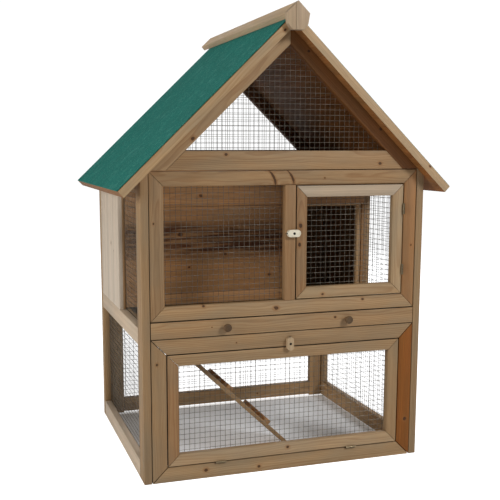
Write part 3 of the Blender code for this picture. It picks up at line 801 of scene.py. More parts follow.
def mitred_board(
    name: str,
    low: Vector,
    high: Vector,
    stock: float,
    part: str,
    looks: dict[str, Any],
    gap: float = 0.8 * MM,
    inner: tuple[float, float] = (7.0 * MM, 1.8 * MM),
    outer: tuple[float, float] = (0.0, 0.0),
) -> bpy.types.Object:
    """One board of a frame that faces front, mitred at both ends.

    Args:
        name: the piece's name.
        low: the frame's lowest corner.
        high: the frame's highest corner.
        stock: the board's face width.
        part: bottom, top, left or right.
        looks: the board's tone and knots.
        gap: the open gap in each mitre.
        inner: the width and depth of the bevel along the board's inner edge.
        outer: the same along its outer edge.

    Returns:
        The board.
    """
    upright = part in ("left", "right")
    near = part in ("bottom", "left")
    way = Vector((1.0, 0.0, 0.0)) if upright else Vector((0.0, 0.0, 1.0))
    run = Vector((0.0, 0.0, 1.0)) if upright else Vector((1.0, 0.0, 0.0))
    inward = way if near else -way
    outside = low.dot(way) if near else high.dot(way)
    start, end = Vector(low), Vector(high)
    for i, axis in enumerate(way):
        if axis:
            start[i], end[i] = sorted((outside, outside + inward[i] * stock))
    cuts = []
    forward = Vector((0.0, -1.0, 0.0))
    for corner, outward in ((low, -run), (high, run)):
        normal = (outward + inward).normalized()
        point = way * outside + run * corner.dot(run) - forward * high.y
        opening = forward * (gap / 2) / (high.y - low.y)
        cuts.append((point - normal * 0.05 * MM, (normal + opening).normalized()))
    inside = outside + inward.dot(way) * stock
    for (width, depth), edge, face in ((inner, inside, inward), (outer, outside, -inward)):
        for share_w, share_d in ((1.0, 0.45), (0.45, 1.0)):
            if width:
                point = way * edge - face * width * share_w + Vector((0.0, low.y, 0.0))
                rise = depth * share_d
                normal = (face * rise - Vector((0.0, width * share_w, 0.0))).normalized()
                cuts.append((point, normal))
    grain = Axis.Z if upright else Axis.X
    # The outer edge faces, which line the gap round the frame, are darkened with painted shade.
    return Board(name, start, end, grain, cuts=cuts, gaps=[-inward], **looks).build()


@dataclass
class SidePanel(SubAssembly):
    """One side: a frame of posts and rails, the nest room's boarding and two panels of wire."""

    side: Side = Side.LEFT
    warm: float = 0.0
    batten: float = 8.0 * MM  # how far the nest wall's batten stands behind it

    def build(self) -> None:
        """Builds every piece of the side."""
        label, sign = self.side.label, self.side.value
        tones = {"warm": self.warm, "light": 1.12}
        near = {"warm": 0.08, "light": 0.93}
        for part, grain in (("front_stile", Axis.Z), ("rear_stile", Axis.Z), ("top_rail", Axis.Y)):
            self.under_roof(f"{label}_{part}", grain, sign, **near)
        for part in ("bottom_rail", "mid_rail"):
            self.board(f"{label}_{part}", Axis.Y, **tones)
        self.boarding(f"{label}_nest_boarding", self.warm)
        self.wire(f"{label}_window_wire")
        self.wire(f"{label}_run_wire")

    def under_roof(self, node: str, grain: Axis, sign: int, **looks: Any) -> None:
        """Builds a board whose top is sawn to the roof's slope.

        Args:
            node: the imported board.
            grain: its grain's direction.
            sign: -1 on the left, 1 on the right.
            looks: its tone.
        """
        low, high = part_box(node)
        roof = Roof.slope(self.side)
        outer = Vector((low.x if sign < 0 else high.x, 0.0, high.z))
        high = high + Vector((0.0, 0.0, (high.x - low.x) * roof.rise))
        made = Board(f"{node}_board", low, high, grain, cuts=[(outer, roof.normal)], wild_knots=0.0, **looks)
        self.hang(made.build(), Body.HUTCH, Slot.FIR, node)

    def boarding(self, node: str, warm: float) -> None:
        """Builds the nest room's side, three upright boards edge to edge, and the nest wall's batten."""
        low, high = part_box(node)
        width = (high.y - low.y) / 3
        for number in range(3):
            start = Vector((low.x, low.y + number * width, low.z))
            end = Vector((high.x, low.y + (number + 1) * width - 0.1 * MM, high.z))
            # warm * 1.6 makes the left boarding paler and greyer, partly weathered wood and partly a painted
            # sheen of the lit side.
            looks = {"warm": warm * 1.6, "light": 1.03, "bold": 0.6, "eased": 0.25 * MM}
            made = Board(f"{node}_{number}", start, end, Axis.Z, **looks)
            self.hang(made.build(), Body.HUTCH, Slot.FIR, node)
        inner = sorted((face.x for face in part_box(f"{self.side.label}_front_stile")), key=abs)[0]
        skin = min((low.x, high.x), key=abs)
        ends = sorted((skin - self.side.value * 0.05 * MM, inner))
        start = Vector((ends[0], low.y + 0.1 * MM, low.z))
        end = Vector((ends[1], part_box("nest_wall")[1].y + self.batten, high.z))
        name = f"{self.side.label}_nest_batten"
        batten = Board(name, start, end, Axis.Z, warm=0.3, light=0.9, eased=0.4 * MM)
        self.hang(batten.build(), Body.HUTCH, Slot.FIR)


@dataclass(frozen=True)
class Slope:
    """One roof slope: its outward normal, its rise per metre and its own axes at the ridge's underside."""

    normal: Vector
    rise: float
    axes: Matrix


@dataclass
class Roof(SubAssembly):
    """Two boarded slopes under felt, the boards over the ridge and the block that closes them in front."""

    planks: int = 5

    @staticmethod
    def slope(side: Side) -> Slope:
        """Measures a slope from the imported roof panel.

        Args:
            side: the left or right slope.

        Returns:
            Its normal, rise and axes. The axes run down the slope, to the back, and out of the roof.
        """
        node = FRAME["nodes"][f"{side.label}_roof_panel"]
        points = [v.co for v in node.data.vertices]
        eave = min(points, key=lambda p: p.z)
        ridge = min(points, key=lambda p: abs(p.x) * 1000 + p.z)
        rise = (ridge.z - eave.z) / (abs(eave.x) - abs(ridge.x))
        length = math.hypot(1.0, rise)
        down = Vector((side.value / length, 0.0, -rise / length))
        out = Vector((side.value * rise / length, 0.0, 1 / length))
        across = Vector((0.0, 1.0, 0.0))
        origin = Vector((0.0, 0.0, ridge.z + abs(ridge.x) * rise))
        axes = Matrix((down, across, out)).transposed().to_4x4()
        return Slope(out, rise, Matrix.Translation(origin) @ axes)

    def spans(self, node: str, slope: Slope) -> tuple[Vector, Vector]:
        """Returns a packed slab's lowest and highest corners on the slope's own axes."""
        back = slope.axes.inverted()
        points = [back @ v.co for v in FRAME["nodes"][node].data.vertices]
        return (
            Vector([min(p[i] for p in points) for i in range(3)]),
            Vector([max(p[i] for p in points) for i in range(3)]),
        )

    def build(self) -> None:
        """Builds both slopes, the ridge boards and the block."""
        for side in Side:
            self.panel(side)
            self.felt(side)
            self.ridge_board(side)
        self.finial()

    def meet(self, side: Side, gap: float = 0.15 * MM) -> Plane:
        """Returns the upright plane on which the two slopes meet."""
        return Vector((side.value * gap, 0.0, 0.0)), Vector((-side.value, 0.0, 0.0))

    def panel(self, side: Side) -> None:
        """Builds one slope's planks, which run from front to back."""
        node = f"{side.label}_roof_panel"
        slope = self.slope(side)
        low, high = self.spans(node, slope)
        width = (high.x - low.x) / self.planks
        for number in range(self.planks):
            start = Vector((low.x + number * width, low.y, low.z))
            end = Vector((low.x + (number + 1) * width - 0.3 * MM, high.y, high.z))
            cuts = [self.meet(side)] if number == 0 else []
            # The planks are darker and warmer amber: painted shade and warm bounce light under the roof,
            # where their undersides are seen.
            plank = Board(
                f"{node}_{number}", start, end, Axis.Y, light=0.9, warm=0.8, cuts=cuts, tilt=slope.axes
            )
            self.hang(plank.build(), Body.HUTCH, Slot.FIR, node)
        self.barge(side, slope, low, high)

    def barge(self, side: Side, slope: Slope, low: Vector, high: Vector) -> None:
        """Builds the thin edging strip on the slope's front edge.

        Args:
            side: the left or right slope.
            slope: its axes.
            low: the panel's lowest corner on them.
            high: the panel's highest corner on them.
        """
        start = Vector((low.x, low.y - 1.2 * MM, low.z + 0.2 * MM))
        end = Vector((high.x - 0.5 * MM, low.y - 0.05 * MM, high.z - 0.2 * MM))
        edging = Board(
            f"{side.label}_roof_edging",
            start,
            end,
            Axis.X,
            light=1.12,
            bold=0.7,
            cuts=[self.meet(side)],
            tilt=slope.axes,
            eased=0.4 * MM,
        )
        self.hang(edging.build(), Body.HUTCH, Slot.FIR)

    def felt(self, side: Side) -> None:
        """Builds one slope's felt, a sheet that is never quite flat."""
        node = f"{side.label}_roof_felt"
        slope = self.slope(side)
        low, high = self.spans(node, slope)
        made = block(f"{node}_sheet", high - low, slope.axes @ Matrix.Translation((low + high) / 2))
        saw(made, [self.meet(side)])
        only(made)
        bpy.ops.object.mode_set(mode="EDIT")
        bpy.ops.mesh.select_all(action="SELECT")
        bpy.ops.mesh.subdivide(number_cuts=40)
        bpy.ops.object.mode_set(mode="OBJECT")
        swell = bpy.data.textures.get("felt_swell") or bpy.data.textures.new("felt_swell", "CLOUDS")
        swell.noise_scale = 0.16
        push = {"direction": "Z", "strength": 0.9 * MM, "mid_level": 0.2}
        shape(made, "DISPLACE", texture=swell, texture_coords="LOCAL", **push)
        only(made)
        bpy.ops.object.shade_smooth_by_angle(angle=math.radians(30))
        self.hang(made, Body.HUTCH, Slot.FELT, node)

    def ridge_board(self, side: Side) -> None:
        """Builds one of the two boards over the ridge."""
        node = f"{side.label}_ridge_board"
        slope = self.slope(side)
        low, high = self.spans(node, slope)
        board = Board(
            f"{node}_board",
            low,
            high,
            Axis.Y,
            light=1.12,
            warm=-0.15,
            bold=0.7,
            cuts=[self.meet(side)],
            tilt=slope.axes,
            eased=1.2 * MM,
            wild_knots=0.0,
        )
        self.hang(board.build(), Body.HUTCH, Slot.FIR, node)

    def finial(self) -> None:
        """Builds the block under the ridge boards' front ends, sawn to their slopes, with a narrow foot."""
        node = "ridge_finial"
        low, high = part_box(node)
        left = self.slope(Side.LEFT)
        foot = 0.014  # half the foot's width
        knee_in, knee_drop = 0.004, 0.8  # how far in the knee stands, and its share of the height down
        seam = (-0.0057, -0.0051)  # the two halves meet off the middle, a hairline apart
        cuts = []
        for side in Side:
            slope = self.slope(side)
            cuts.append((Vector((0.0, 0.0, high.z)), slope.normal))
            shoulder = high.z - (high.x - low.x) / 2 * left.rise
            edge = Vector((side.value * high.x, 0.0, shoulder))
            knee = Vector((side.value * (high.x - knee_in), 0.0, high.z - knee_drop * (high.z - low.z)))
            end = Vector((side.value * foot, 0.0, low.z))
            for upper, lower in ((edge, knee), (knee, end)):
                line = (upper - lower).normalized()
                cuts.append((upper, Vector((side.value * line.z, 0.0, -side.value * line.x))))
        looks = {"light": 1.04, "warm": -0.25, "eased": 0.5 * MM, "wild_knots": 0.0}
        for side, span in ((Side.LEFT, (low.x, seam[0])), (Side.RIGHT, (seam[1], high.x))):
            start, end = Vector((span[0], low.y, low.z)), Vector((span[1], high.y, high.z))
            half = Board(f"{node}_{side.label}", start, end, Axis.Z, cuts=cuts, **looks)
            self.hang(half.build(), Body.HUTCH, Slot.FIR, node)


@dataclass
class BackPanel(SubAssembly):
    """The back: stiles, rails, planks over the nest room and wire over the run."""

    planks: int = 4

    def build(self) -> None:
        """Builds every piece of the back."""
        for side in Side:
            self.board(f"back_{side.label}_stile", Axis.Z, light=1.12, warm=0.15)
        self.board("back_bottom_rail", Axis.X, light=1.12, warm=0.15)
        self.board("back_mid_rail", Axis.X)
        low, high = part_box("back_boarding")
        height = (high.z - low.z) / self.planks
        for number in range(self.planks):
            start = Vector((low.x, low.y, low.z + number * height))
            end = Vector((high.x, high.y, low.z + (number + 1) * height - 0.4 * MM))
            plank = Board(f"back_boarding_{number}", start, end, Axis.X, eased=1.5 * MM)
            self.hang(plank.build(), Body.HUTCH, Slot.FIR, "back_boarding")
        self.wire("back_run_wire")


@dataclass
class Gable(SubAssembly):
    """A triangular frame under the roof: a rail, two rafters and wire."""

    front: bool = True
    rail: float = 43.5 * MM
    rafter: float = 28.0 * MM

    def build(self) -> None:
        """Builds the frame and its wire."""
        label = "front" if self.front else "back"
        node = f"{label}_gable_frame"
        low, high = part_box(node)
        wire_low, wire_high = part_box(f"{label}_gable_wire")
        inner_planes = []
        for side in Side:
            slope = Roof.slope(side)
            top = Vector((0.0, 0.0, high.z))
            inner = top - slope.normal * self.rafter
            inner_planes.append((inner, slope.normal))
            looks = {"light": 0.98, "warm": 0.1}
            # The right front rafter and the back rafters get a darker, warmer copy of the wood: painted shade
            # under the roof's overhang and in the roof space.
            if side is Side.RIGHT or not self.front:
                looks = {"light": 0.62, "warm": 0.8}
            knots = ()
            if side is Side.RIGHT and self.front:
                knots = (Knot(0.234, low.y, 0.824, 3.2), Knot(0.045, low.y, 1.0, 3.6))
            if side is Side.LEFT and self.front:
                knots = (Knot(-0.233, low.y, 0.800, 4.0),)
            length = (high - low).length
            start = Vector((-0.02, low.y, -self.rafter))
            end = Vector((length, high.y, 0.0))
            peak = Vector((0.0, 0.0, high.z))
            tilt = Matrix.Translation(peak - Roof.slope(side).axes.translation) @ slope.axes
            cuts = [
                (Vector((side.value * 0.2 * MM, 0.0, 0.0)), Vector((-side.value, 0.0, 0.0))),
                (Vector((0.0, 0.0, low.z)), Vector((0.0, 0.0, -1.0))),
            ]
            rafter = Board(
                f"{node}_{side.label}_rafter",
                start,
                end,
                Axis.X,
                knots=knots,
                cuts=cuts,
                tilt=tilt,
                wild_knots=0.0,
                **looks,
            )
            self.hang(rafter.build(), Body.HUTCH, Slot.FIR, node)
        rail_cuts = [(point - normal * 0.4 * MM, normal) for point, normal in inner_planes]
        knots = (Knot(0.234, low.y, 0.742, 3.4), Knot(-0.155, low.y, 0.765, 3.4)) if self.front else ()
        rail = Board(
            f"{node}_rail",
            low,
            Vector((high.x, high.y, low.z + self.rail)),
            Axis.X,
            light=0.98,
            warm=0.22,
            knots=knots,
            cuts=rail_cuts,
            wild_knots=0.0,
        )
        self.hang(rail.build(), Body.HUTCH, Slot.FIR, node)
        wire_cuts = [(point - normal * 0.8 * MM, normal) for point, normal in inner_planes]
        self.wire(f"{label}_gable_wire", cuts=wire_cuts)


@dataclass
class LowerFront(SubAssembly):
    """The run's front: a mitred frame, a drop-down wire door and its wooden turn button."""

    frame_stock: float = 35.5 * MM
    door_stock: float = 27.0 * MM

    def build(self) -> None:
        """Builds the frame, the door, its wire and the turn button."""
        low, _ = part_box("lower_front_frame")
        y = low.y
        looks = {
            "bottom": {"light": 0.98, "knots": (Knot(-0.206, y, 0.02, 4.0), Knot(-0.072, y, 0.013, 3.6))},
            "top": {"light": 0.95, "warm": 0.12, "knots": (Knot(-0.13, y, 0.325, 1.5),)},
            "left": {"light": 0.88, "warm": 0.15, "knots": (Knot(-0.322, y, 0.286, 2.6),)},
            "right": {"light": 0.9, "warm": 1.0, "knots": (Knot(0.322, y, 0.095, 4.2),)},
        }
        self.mitred("lower_front_frame", self.frame_stock, Body.HUTCH, looks, gap=1.5 * MM, inner=(0.0, 0.0))
        looks = {
            "bottom": {"light": 1.02, "knots": (Knot(0.002, y, 0.054, 3.4),)},
            "top": {"light": 0.98, "warm": 0.08},
            "left": {"light": 0.94, "warm": 0.3},
            "right": {"light": 0.92},
        }
        self.mitred("lower_door_frame", self.door_stock, Body.LOWER_DOOR, looks, gap=0.5 * MM)
        self.wire("lower_door_wire", Body.LOWER_DOOR)
        self.button()

    def button(self) -> None:
        """Builds the wooden turn button and its screw."""
        low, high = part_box("lower_turn_button")
        width = (high.x - low.x) / 2
        made = Board(
            "lower_turn_button_wood", low, high, Axis.Z, light=1.2, warm=0.0, eased=0.01 * MM, wild_knots=0.0
        )
        piece = rounded_bar(made, width, Axis.Z)
        self.hang(piece, Body.LOWER_BUTTON, Slot.FIR, "lower_turn_button")
        centre = (low + high) / 2
        screw = screw_head("lower_turn_button_screw", Vector((centre.x, low.y, centre.z)), 3.0 * MM)
        self.hang(screw, Body.LOWER_BUTTON, Slot.HINGE, finish=self.finishes.black)


def rounded_bar(board: Board, radius: float, along: Axis) -> bpy.types.Object:
    """A board with half-round ends.

    Args:
        board: the board before its ends are rounded.
        radius: the ends' radius.
        along: the bar's long direction.

    Returns:
        The bar.
    """
    across = Axis.X if along is Axis.Z else Axis.Z
    centre = (board.low + board.high) / 2
    half = (board.high - board.low).dot(along.value) / 2 - radius
    cuts = []
    for end in (-1, 1):
        for step in range(-4, 5):
            angle = math.radians(step * 20)
            normal = along.value * math.cos(angle) * end + across.value * math.sin(angle)
            cuts.append((centre + along.value * half * end + normal * radius, normal))
    board.cuts = cuts
    place, size = board.place()
    made = block(board.name, size, place)
    saw(made, cuts)
    ease(made, 1.3 * MM, 3, 50.0)
    board.mark(made, place, size)
    return made


def screw_head(name: str, seat: Vector, radius: float) -> bpy.types.Object:
    """A domed screw head with a cross recess.

    Args:
        name: the piece's name.
        seat: the middle of the face it is driven into.
        radius: the head's radius.

    Returns:
        The head, standing just proud of its seat.
    """
    steps = ((0.6, -1.2), (1.0, 0.05), (0.96, 0.35), (0.7, 0.75), (0.3, 0.9))
    profile = [(radius * share, rise * MM) for share, rise in steps]
    head = turned(name, seat, profile, sides=16)
    for index, size in enumerate(((radius * 1.1, 0.7 * MM), (0.7 * MM, radius * 1.1))):
        slot = block(
            f"{name}_slot_{index}",
            Vector((size[0], 1.2 * MM, size[1])),
            Matrix.Translation(seat - Vector((0.0, 0.9 * MM, 0.0))),
        )
        shape(head, "BOOLEAN", operation="DIFFERENCE", solver="EXACT", object=slot)
        bpy.data.objects.remove(slot)
    return head


@dataclass
class Drawer(SubAssembly):
    """The slide-out floor: a front board with two turned knobs, and a pan with a hatch for the ramp."""

    floor: float = 5.0 * MM
    wall: float = 6.0 * MM
    hatch_left: float = -0.2855
    hatch_length: float = 0.170
    hatch_margin: float = 0.010

    def build(self) -> None:
        """Builds the front board, the knobs and the pan."""
        low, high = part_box("drawer_front")
        y = low.y
        looks = {
            "light": 1.0,
            "warm": 0.08,
            "knots": (Knot(0.123, y, 0.371, 2.6), Knot(-0.19, y, 0.366, 1.2)),
            "wild_knots": 0.0,
            "eased": 1.1 * MM,
            # The top, bottom and left edge faces, which line the gaps round the drawer front, are darkened
            # with painted shade.
            "gaps": (Vector((0.0, 0.0, 1.0)), Vector((0.0, 0.0, -1.0)), Vector((-1.0, 0.0, 0.0))),
        }
        self.board("drawer_front", Axis.X, Body.DRAWER, **looks)
        for side in Side:
            self.knob(side)
        self.pan()

    def knob(self, side: Side) -> None:
        """Turns one round wooden knob."""
        node = f"drawer_{side.label}_knob"
        low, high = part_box(node)
        seat = Vector(((low.x + high.x) / 2, high.y, (low.z + high.z) / 2))
        radius, length = (high.x - low.x) / 2, high.y - low.y
        profile = [
            (0.62, 0.0),
            (0.55, 0.12),
            (0.52, 0.3),
            (0.66, 0.42),
            (0.92, 0.52),
            (1.0, 0.66),
            (0.96, 0.8),
            (0.82, 0.91),
            (0.55, 0.98),
            (0.2, 1.0),
        ]
        made = turned(f"{node}_turned", seat, [(r * radius, t * length) for r, t in profile])
        grain = Board(node, low, high, Axis.Y, light=0.4, warm=0.3, wild_knots=0.0)
        grain.mark(made, *grain.place())
        self.hang(made, Body.DRAWER, Slot.FIR, node)

    def pan(self) -> None:
        """Builds the pan's floor boards, its four walls and the rim round the hatch."""
        node = "drawer_pan"
        low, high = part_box(node)
        ramp_low, ramp_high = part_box("ramp")
        hatch = (
            Vector((self.hatch_left, ramp_low.y - self.hatch_margin, low.z)),
            Vector((self.hatch_left + self.hatch_length, ramp_high.y + self.hatch_margin, high.z)),
        )
        floor = low.z + self.floor
        middle = (hatch[0].y + hatch[1].y) / 2
        rows = [low.y, hatch[0].y, middle, hatch[1].y, hatch[1].y + 0.103, hatch[1].y + 0.206, high.y]
        for number, (start, end) in enumerate(zip(rows, rows[1:])):
            spans = [(low.x, high.x)]
            if number in (1, 2):
                spans = [(low.x, hatch[0].x), (hatch[1].x, high.x)]
            for part, (left, right) in enumerate(spans):
                plank = Board(
                    f"{node}_floor_{number}_{part}",
                    Vector((left + 0.1 * MM, start + 0.15 * MM, low.z)),
                    Vector((right - 0.1 * MM, end - 0.15 * MM, floor)),
                    Axis.X,
                    eased=0.5 * MM,
                )
                self.hang(plank.build(), Body.DRAWER, Slot.FIR, node)
        base = floor + 0.05 * MM
        wall = self.wall
        walls = {
            "front": ((low.x, low.y), (high.x, low.y + wall), Axis.X),
            "back": ((low.x, high.y - wall), (high.x, high.y), Axis.X),
            "left": ((low.x, low.y + wall), (low.x + wall, high.y - wall), Axis.Y),
            "right": ((high.x - wall, low.y + wall), (high.x, high.y - wall), Axis.Y),
            "rim_front": ((hatch[0].x - wall, hatch[0].y - wall), (hatch[1].x + wall, hatch[0].y), Axis.X),
            "rim_back": ((hatch[0].x - wall, hatch[1].y), (hatch[1].x + wall, hatch[1].y + wall), Axis.X),
            "rim_left": ((hatch[0].x - wall, hatch[0].y), (hatch[0].x, hatch[1].y), Axis.Y),
            "rim_right": ((hatch[1].x, hatch[0].y), (hatch[1].x + wall, hatch[1].y), Axis.Y),
        }
        for part, (start, end, grain) in walls.items():
            gap = Vector((0.05 * MM, 0.05 * MM, 0.0))
            strip = Board(
                f"{node}_{part}",
                Vector((*start, base)) + gap,
                Vector((*end, high.z)) - gap,
                grain,
                eased=0.6 * MM,
                wild_knots=0.0,
            )
            self.hang(strip.build(), Body.DRAWER, Slot.FIR, node)


@dataclass
class UpperFront(SubAssembly):
    """The home's front: a mitred frame, a wire window, an upright and a wire door with a turn button."""

    frame_stock: float = 33.5 * MM
    door_stock: float = 27.0 * MM

    def build(self) -> None:
        """Builds the frame, the upright, the window, the door and its turn button."""
        low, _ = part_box("upper_front_frame")
        y = low.y
        spikes = Knot(-0.039, y, 0.712, -2.8), Knot(0.007, y, 0.712, -2.4)
        sill_knots = Knot(0.196, y, 0.412, 3.0), Knot(-0.21, y, 0.417, 2.8), Knot(-0.031, y, 0.403, 4.4)
        looks = {
            "bottom": {"light": 1.07, "knots": sill_knots},
            "top": {"light": 0.94, "warm": 0.1, "knots": (Knot(0.09, y, 0.709, 1.8), *spikes)},
            "left": {"light": 0.82, "warm": 0.2, "knots": (Knot(-0.326, y, 0.611, 2.2),)},
            "right": {"light": 1.1, "warm": 0.45, "knots": (Knot(0.325, y, 0.541, 2.4),)},
        }
        outer = (13.0 * MM, 1.8 * MM)
        self.mitred("upper_front_frame", self.frame_stock, Body.HUTCH, looks, gap=0.5 * MM, outer=outer)
        self.board("front_mullion", Axis.Z, light=0.92, warm=0.3, wild_knots=0.0)
        self.wire("front_window_wire")
        stile_knots = Knot(0.030, y, 0.597, 5.0), Knot(0.027, y, 0.552, 4.6)
        looks = {
            "bottom": {"light": 1.07, "knots": (Knot(0.089, y, 0.43, 3.0),)},
            "top": {"light": 1.02, "warm": -0.4},
            "left": {"light": 0.8, "warm": 0.28, "knots": stile_knots},
            "right": {"light": 0.98},
        }
        self.mitred("upper_door_frame", self.door_stock, Body.UPPER_DOOR, looks, gap=0.4 * MM)
        self.wire("upper_door_wire", Body.UPPER_DOOR)
        self.button()

    def button(self) -> None:
        """Builds the moulded turn button and its black screw."""
        low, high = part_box("upper_turn_button")
        radius = (high.z - low.z) / 2
        made = Board("upper_turn_button_moulded", low, high, Axis.X, eased=0.01 * MM, wild_knots=0.0)
        self.hang(rounded_bar(made, radius, Axis.X), Body.UPPER_BUTTON, Slot.CREAM, "upper_turn_button")
        centre = (low + high) / 2
        screw = screw_head("upper_turn_button_screw", Vector((centre.x, low.y, centre.z)), 3.2 * MM)
        self.hang(screw, Body.UPPER_BUTTON, Slot.HINGE, finish=self.finishes.black)


@dataclass
class NestWall(SubAssembly):
    """The wall of wide planks across the home, with the nest room's doorway."""

    sill: float = 55.0 * MM
    doorway_height: float = 222.0 * MM
    doorway_width: float = 162.0 * MM
    jamb: float = 25.0 * MM
    jamb_strip: float = 11.5 * MM
    jamb_gap: float = 3.0 * MM
    head_strip: float = 6.0 * MM
    seam: float = 0.8 * MM

    def build(self) -> None:
        """Builds the planks below, beside and over the doorway, and the doorway's strips."""
        node = "nest_wall"
        low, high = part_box(node)
        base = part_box("drawer_pan")[0].z
        sill, lintel = base + self.sill, base + self.sill + self.doorway_height
        head = lintel + self.head_strip
        right = high.x + 0.3 * MM - self.jamb
        left = right - self.doorway_width
        strip = right + self.jamb_strip
        y = low.y
        spots = (
            (-0.194, 0.556, 5.5),
            (0.086, 0.512, 4.5),
            (0.054, 0.440, 3.8),
            (-0.071, 0.500, 3.4),
            (-0.170, 0.469, 3.4),
        )
        knots = [Knot(x, y, z, radius) for x, z, radius in spots]
        wide = {"knots": knots, "heart": (0.028, 0.050, 0.95), "bold": 1.1, "light": 1.2}
        pale = {"light": 1.5, "warm": 0.15, "bold": 0.7}
        over = {"knots": (Knot(-0.137, y, 0.656, 4.0),), "light": 1.15}
        spans = {
            "sill": ((low.x, low.z), (high.x, sill - self.seam), {"light": 1.2}),
            "wide": ((low.x, sill), (left, head - self.seam), wide),
            "jamb_strip": ((right, sill), (strip, lintel), pale),
            "jamb": ((strip + self.jamb_gap, sill), (high.x, head - self.seam), {"light": 1.15}),
            "head_strip": ((left, lintel + 0.2 * MM), (strip, head - self.seam), pale),
            "head": ((low.x, head), (high.x, high.z), over),
        }
        for part, (start, end, looks) in spans.items():
            grain = Axis.Z if part.startswith("jamb") else Axis.X
            # The default warm of 0.5 is partly the wood's own tone and partly painted warm shade of the dim
            # nest room.
            settings = {"warm": 0.5, "eased": 0.6 * MM, "wild_knots": 0.0, **looks}
            corners = Vector((start[0], low.y, start[1])), Vector((end[0], high.y, end[1]))
            plank = Board(f"{node}_{part}", *corners, grain, **settings)
            self.hang(plank.build(), Body.HUTCH, Slot.FIR, node)


@dataclass
class Ramp(SubAssembly):
    """The cleated board that hangs on a steel rod, and its runners above."""

    slope: float = math.radians(43.75)
    thickness: float = 10.0 * MM
    cleats: int = 3
    first: float = 71.0 * MM
    pitch: float = 136.0 * MM
    cleat_width: float = 18.0 * MM
    cleat_height: float = 10.0 * MM

    def build(self) -> None:
        """Builds the ramp's board, its cleats and the two runners that carry the drawer."""
        low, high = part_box("ramp")
        joint = next(j for j in FRAME["joints"] if j["child"] == Body.RAMP.value)
        pivot = Vector(joint["pos_m"])
        half = self.thickness / 2
        foot = (high.x - pivot.x - half * math.sin(self.slope)) / math.cos(self.slope)
        tilt = Matrix.Translation(pivot) @ Matrix.Rotation(self.slope, 4, "Y")
        side = (high.y - low.y) / 2
        board = Board(
            "ramp_board",
            Vector((-half * 0.9, -side, -half)),
            Vector((foot, side, half)),
            Axis.X,
            light=1.25,
            warm=0.1,
            tilt=tilt,
        )
        self.hang(board.build(), Body.RAMP, Slot.FIR, "ramp")
        for number in range(self.cleats):
            start = self.first + number * self.pitch - self.cleat_width / 2
            cleat = Board(
                f"ramp_cleat_{number}",
                Vector((start, -side + 0.3 * MM, half + 0.05 * MM)),
                Vector((start + self.cleat_width, side - 0.3 * MM, half + self.cleat_height)),
                Axis.Y,
                light=1.9,
                warm=0.4,
                tilt=tilt,
                wild_knots=0.0,
            )
            self.hang(cleat.build(), Body.RAMP, Slot.FIR)
        for each in Side:
            self.board(f"{each.label}_runner", Axis.Y)


@dataclass
class Fittings(SubAssembly):
    """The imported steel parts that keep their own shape: hinge leaves and the ramp's rod."""

    def build(self) -> None:
        """Gives each packed steel part its finish."""
        for name, node in FRAME["nodes"].items():
            if "hinge" in name or name == "ramp_rod":
                node.data.materials.clear()
                node.data.materials.append(self.finishes.hinge)
                self.count += 1


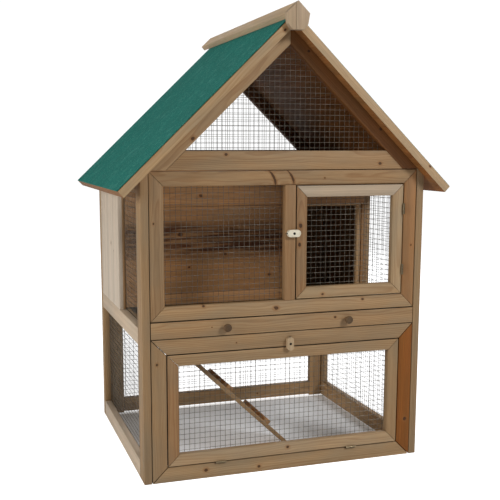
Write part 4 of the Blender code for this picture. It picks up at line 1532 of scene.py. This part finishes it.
# ---- studio ----
@dataclass
class Studio:
    """A pale floor, soft lights and the camera."""

    eye: Vector = Vector((-0.7361, -2.1689, 0.7818))
    yaw: float = 0.3092
    pitch: float = 0.1484
    lens: float = 61.27
    shift: tuple[float, float] = (0.0356, 0.0482)
    floor_size: float = 40.0

    def build(self) -> None:
        """Builds the floor, the lights, the sky and the camera."""
        self.floor()
        self.lamp("key", Vector((2.25, -3.45, 2.75)), 1.2, 108.0)
        self.lamp("left_fill", Vector((-3.2, -0.6, 1.2)), 2.0, 62.0)
        self.lamp("top", Vector((-0.3, -0.4, 4.5)), 2.5, 44.0)
        self.lamp("back_fill", Vector((1.4, 3.6, 1.8)), 2.0, 40.0)
        self.sky()
        self.camera()

    def floor(self) -> None:
        """Lays the pale floor. It glows white to the camera, but for a painted grey shadow over the hutch's
        footprint.
        """
        bpy.ops.object.select_all(action="DESELECT")
        bpy.ops.mesh.primitive_plane_add(size=self.floor_size, location=(0.0, 0.0, -0.5 * MM))
        floor = bpy.context.object
        floor.name = "studio_floor"
        bpy.ops.object.transform_apply(location=True, rotation=True, scale=True)
        g = Graph("matt_white_backdrop")
        place = g.add("SeparateXYZ", g.add("TexCoord", out="Object")).node
        # Masks that are 0 over the hutch's footprint, where the floor gets a painted shadow.
        inside = [
            g.add("MapRange", g.add("Math", place.outputs[0], operation="ABSOLUTE"), 0.335, 0.350, 0.0, 1.0),
            g.add("MapRange", place.outputs[1], -0.300, -0.270, 1.0, 0.0),
            g.add("MapRange", place.outputs[1], 0.240, 0.270, 0.0, 1.0),
        ]
        clear_of_painted_shadow = g.add("Math", inside[0], inside[1], operation="MAXIMUM")
        clear_of_painted_shadow = g.add("Math", clear_of_painted_shadow, inside[2], operation="MAXIMUM")
        seen = g.add("LightPath", out="Is Camera Ray")
        # Over the footprint the camera sees the floor glow only 0.12: a painted shadow.
        glow = g.add("MapRange", g.add("Math", seen, clear_of_painted_shadow, operation="MULTIPLY"), 0.0, 1.0, 0.12, 1.0)
        glow = g.add("CombineXYZ", glow, glow, glow)
        glow = g.add("MixRGB", 1.0, glow, linear("#FFFFFF"), blend_type="MULTIPLY")
        floor.data.materials.append(
            g.dress(Base_Color=linear("#E4E6EA"), Roughness=0.9, Emission_Color=glow, Emission_Strength=1.0)
        )

    def lamp(self, name: str, at: Vector, size: float, power: float) -> None:
        """Hangs a soft lamp that faces the hutch.

        Args:
            name: its name.
            at: where it hangs.
            size: its width.
            power: its power in watts.
        """
        light = bpy.data.lights.new(name, "AREA")
        light.shape = "DISK"
        light.size = size
        light.energy = power
        lamp = bpy.data.objects.new(name, light)
        lamp.location = at
        lamp.rotation_euler = (Vector((0.0, 0.0, 0.55)) - at).to_track_quat("-Z", "Y").to_euler()
        bpy.context.scene.collection.objects.link(lamp)

    def sky(self) -> None:
        """Sets an even white surround, softer on the hutch than it looks."""
        world = bpy.data.worlds.new("white_surround")
        bpy.context.scene.world = world
        world.use_nodes = True
        tree = world.node_tree
        ground = tree.nodes["Background"]
        ground.inputs["Color"].default_value = (1.0, 1.0, 1.0, 1.0)
        path = tree.nodes.new("ShaderNodeLightPath")
        strength = tree.nodes.new("ShaderNodeMapRange")
        strength.inputs["To Min"].default_value = 0.07
        strength.inputs["To Max"].default_value = 1.05
        tree.links.new(path.outputs["Is Camera Ray"], strength.inputs["Value"])
        tree.links.new(strength.outputs["Result"], ground.inputs["Strength"])

    def camera(self) -> None:
        """Sets up the camera."""
        data = bpy.data.cameras.new("view")
        data.lens = self.lens
        data.sensor_width = 36.0
        data.shift_x, data.shift_y = self.shift
        camera = bpy.data.objects.new("view", data)
        camera.location = self.eye
        camera.rotation_euler = (math.pi / 2 - self.pitch, 0.0, -self.yaw)
        bpy.context.scene.collection.objects.link(camera)
        bpy.context.scene.camera = camera
        bpy.context.scene.view_settings.view_transform = "Standard"


def main() -> None:
    """Builds the whole hutch and its studio."""
    logging.basicConfig(level=logging.INFO, format="%(name)s: %(message)s")
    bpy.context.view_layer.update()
    finishes = Finishes()
    parts = [
        # The left side's paler, greyer tone is partly weathered wood and partly a painted sheen of the
        # brightly lit side.
        SidePanel(finishes, side=Side.LEFT, warm=-0.5),
        SidePanel(finishes, side=Side.RIGHT, warm=0.15),
        BackPanel(finishes),
        LowerFront(finishes),
        UpperFront(finishes),
        Drawer(finishes),
        NestWall(finishes),
        Ramp(finishes),
        Gable(finishes, front=True),
        Gable(finishes, front=False),
        Roof(finishes),
        Fittings(finishes),
    ]
    for part in parts:
        part.build()
        LOG.info("%s: %d pieces", type(part).__name__, part.count)
    Studio().build()


if __name__ == "__main__":
    main()
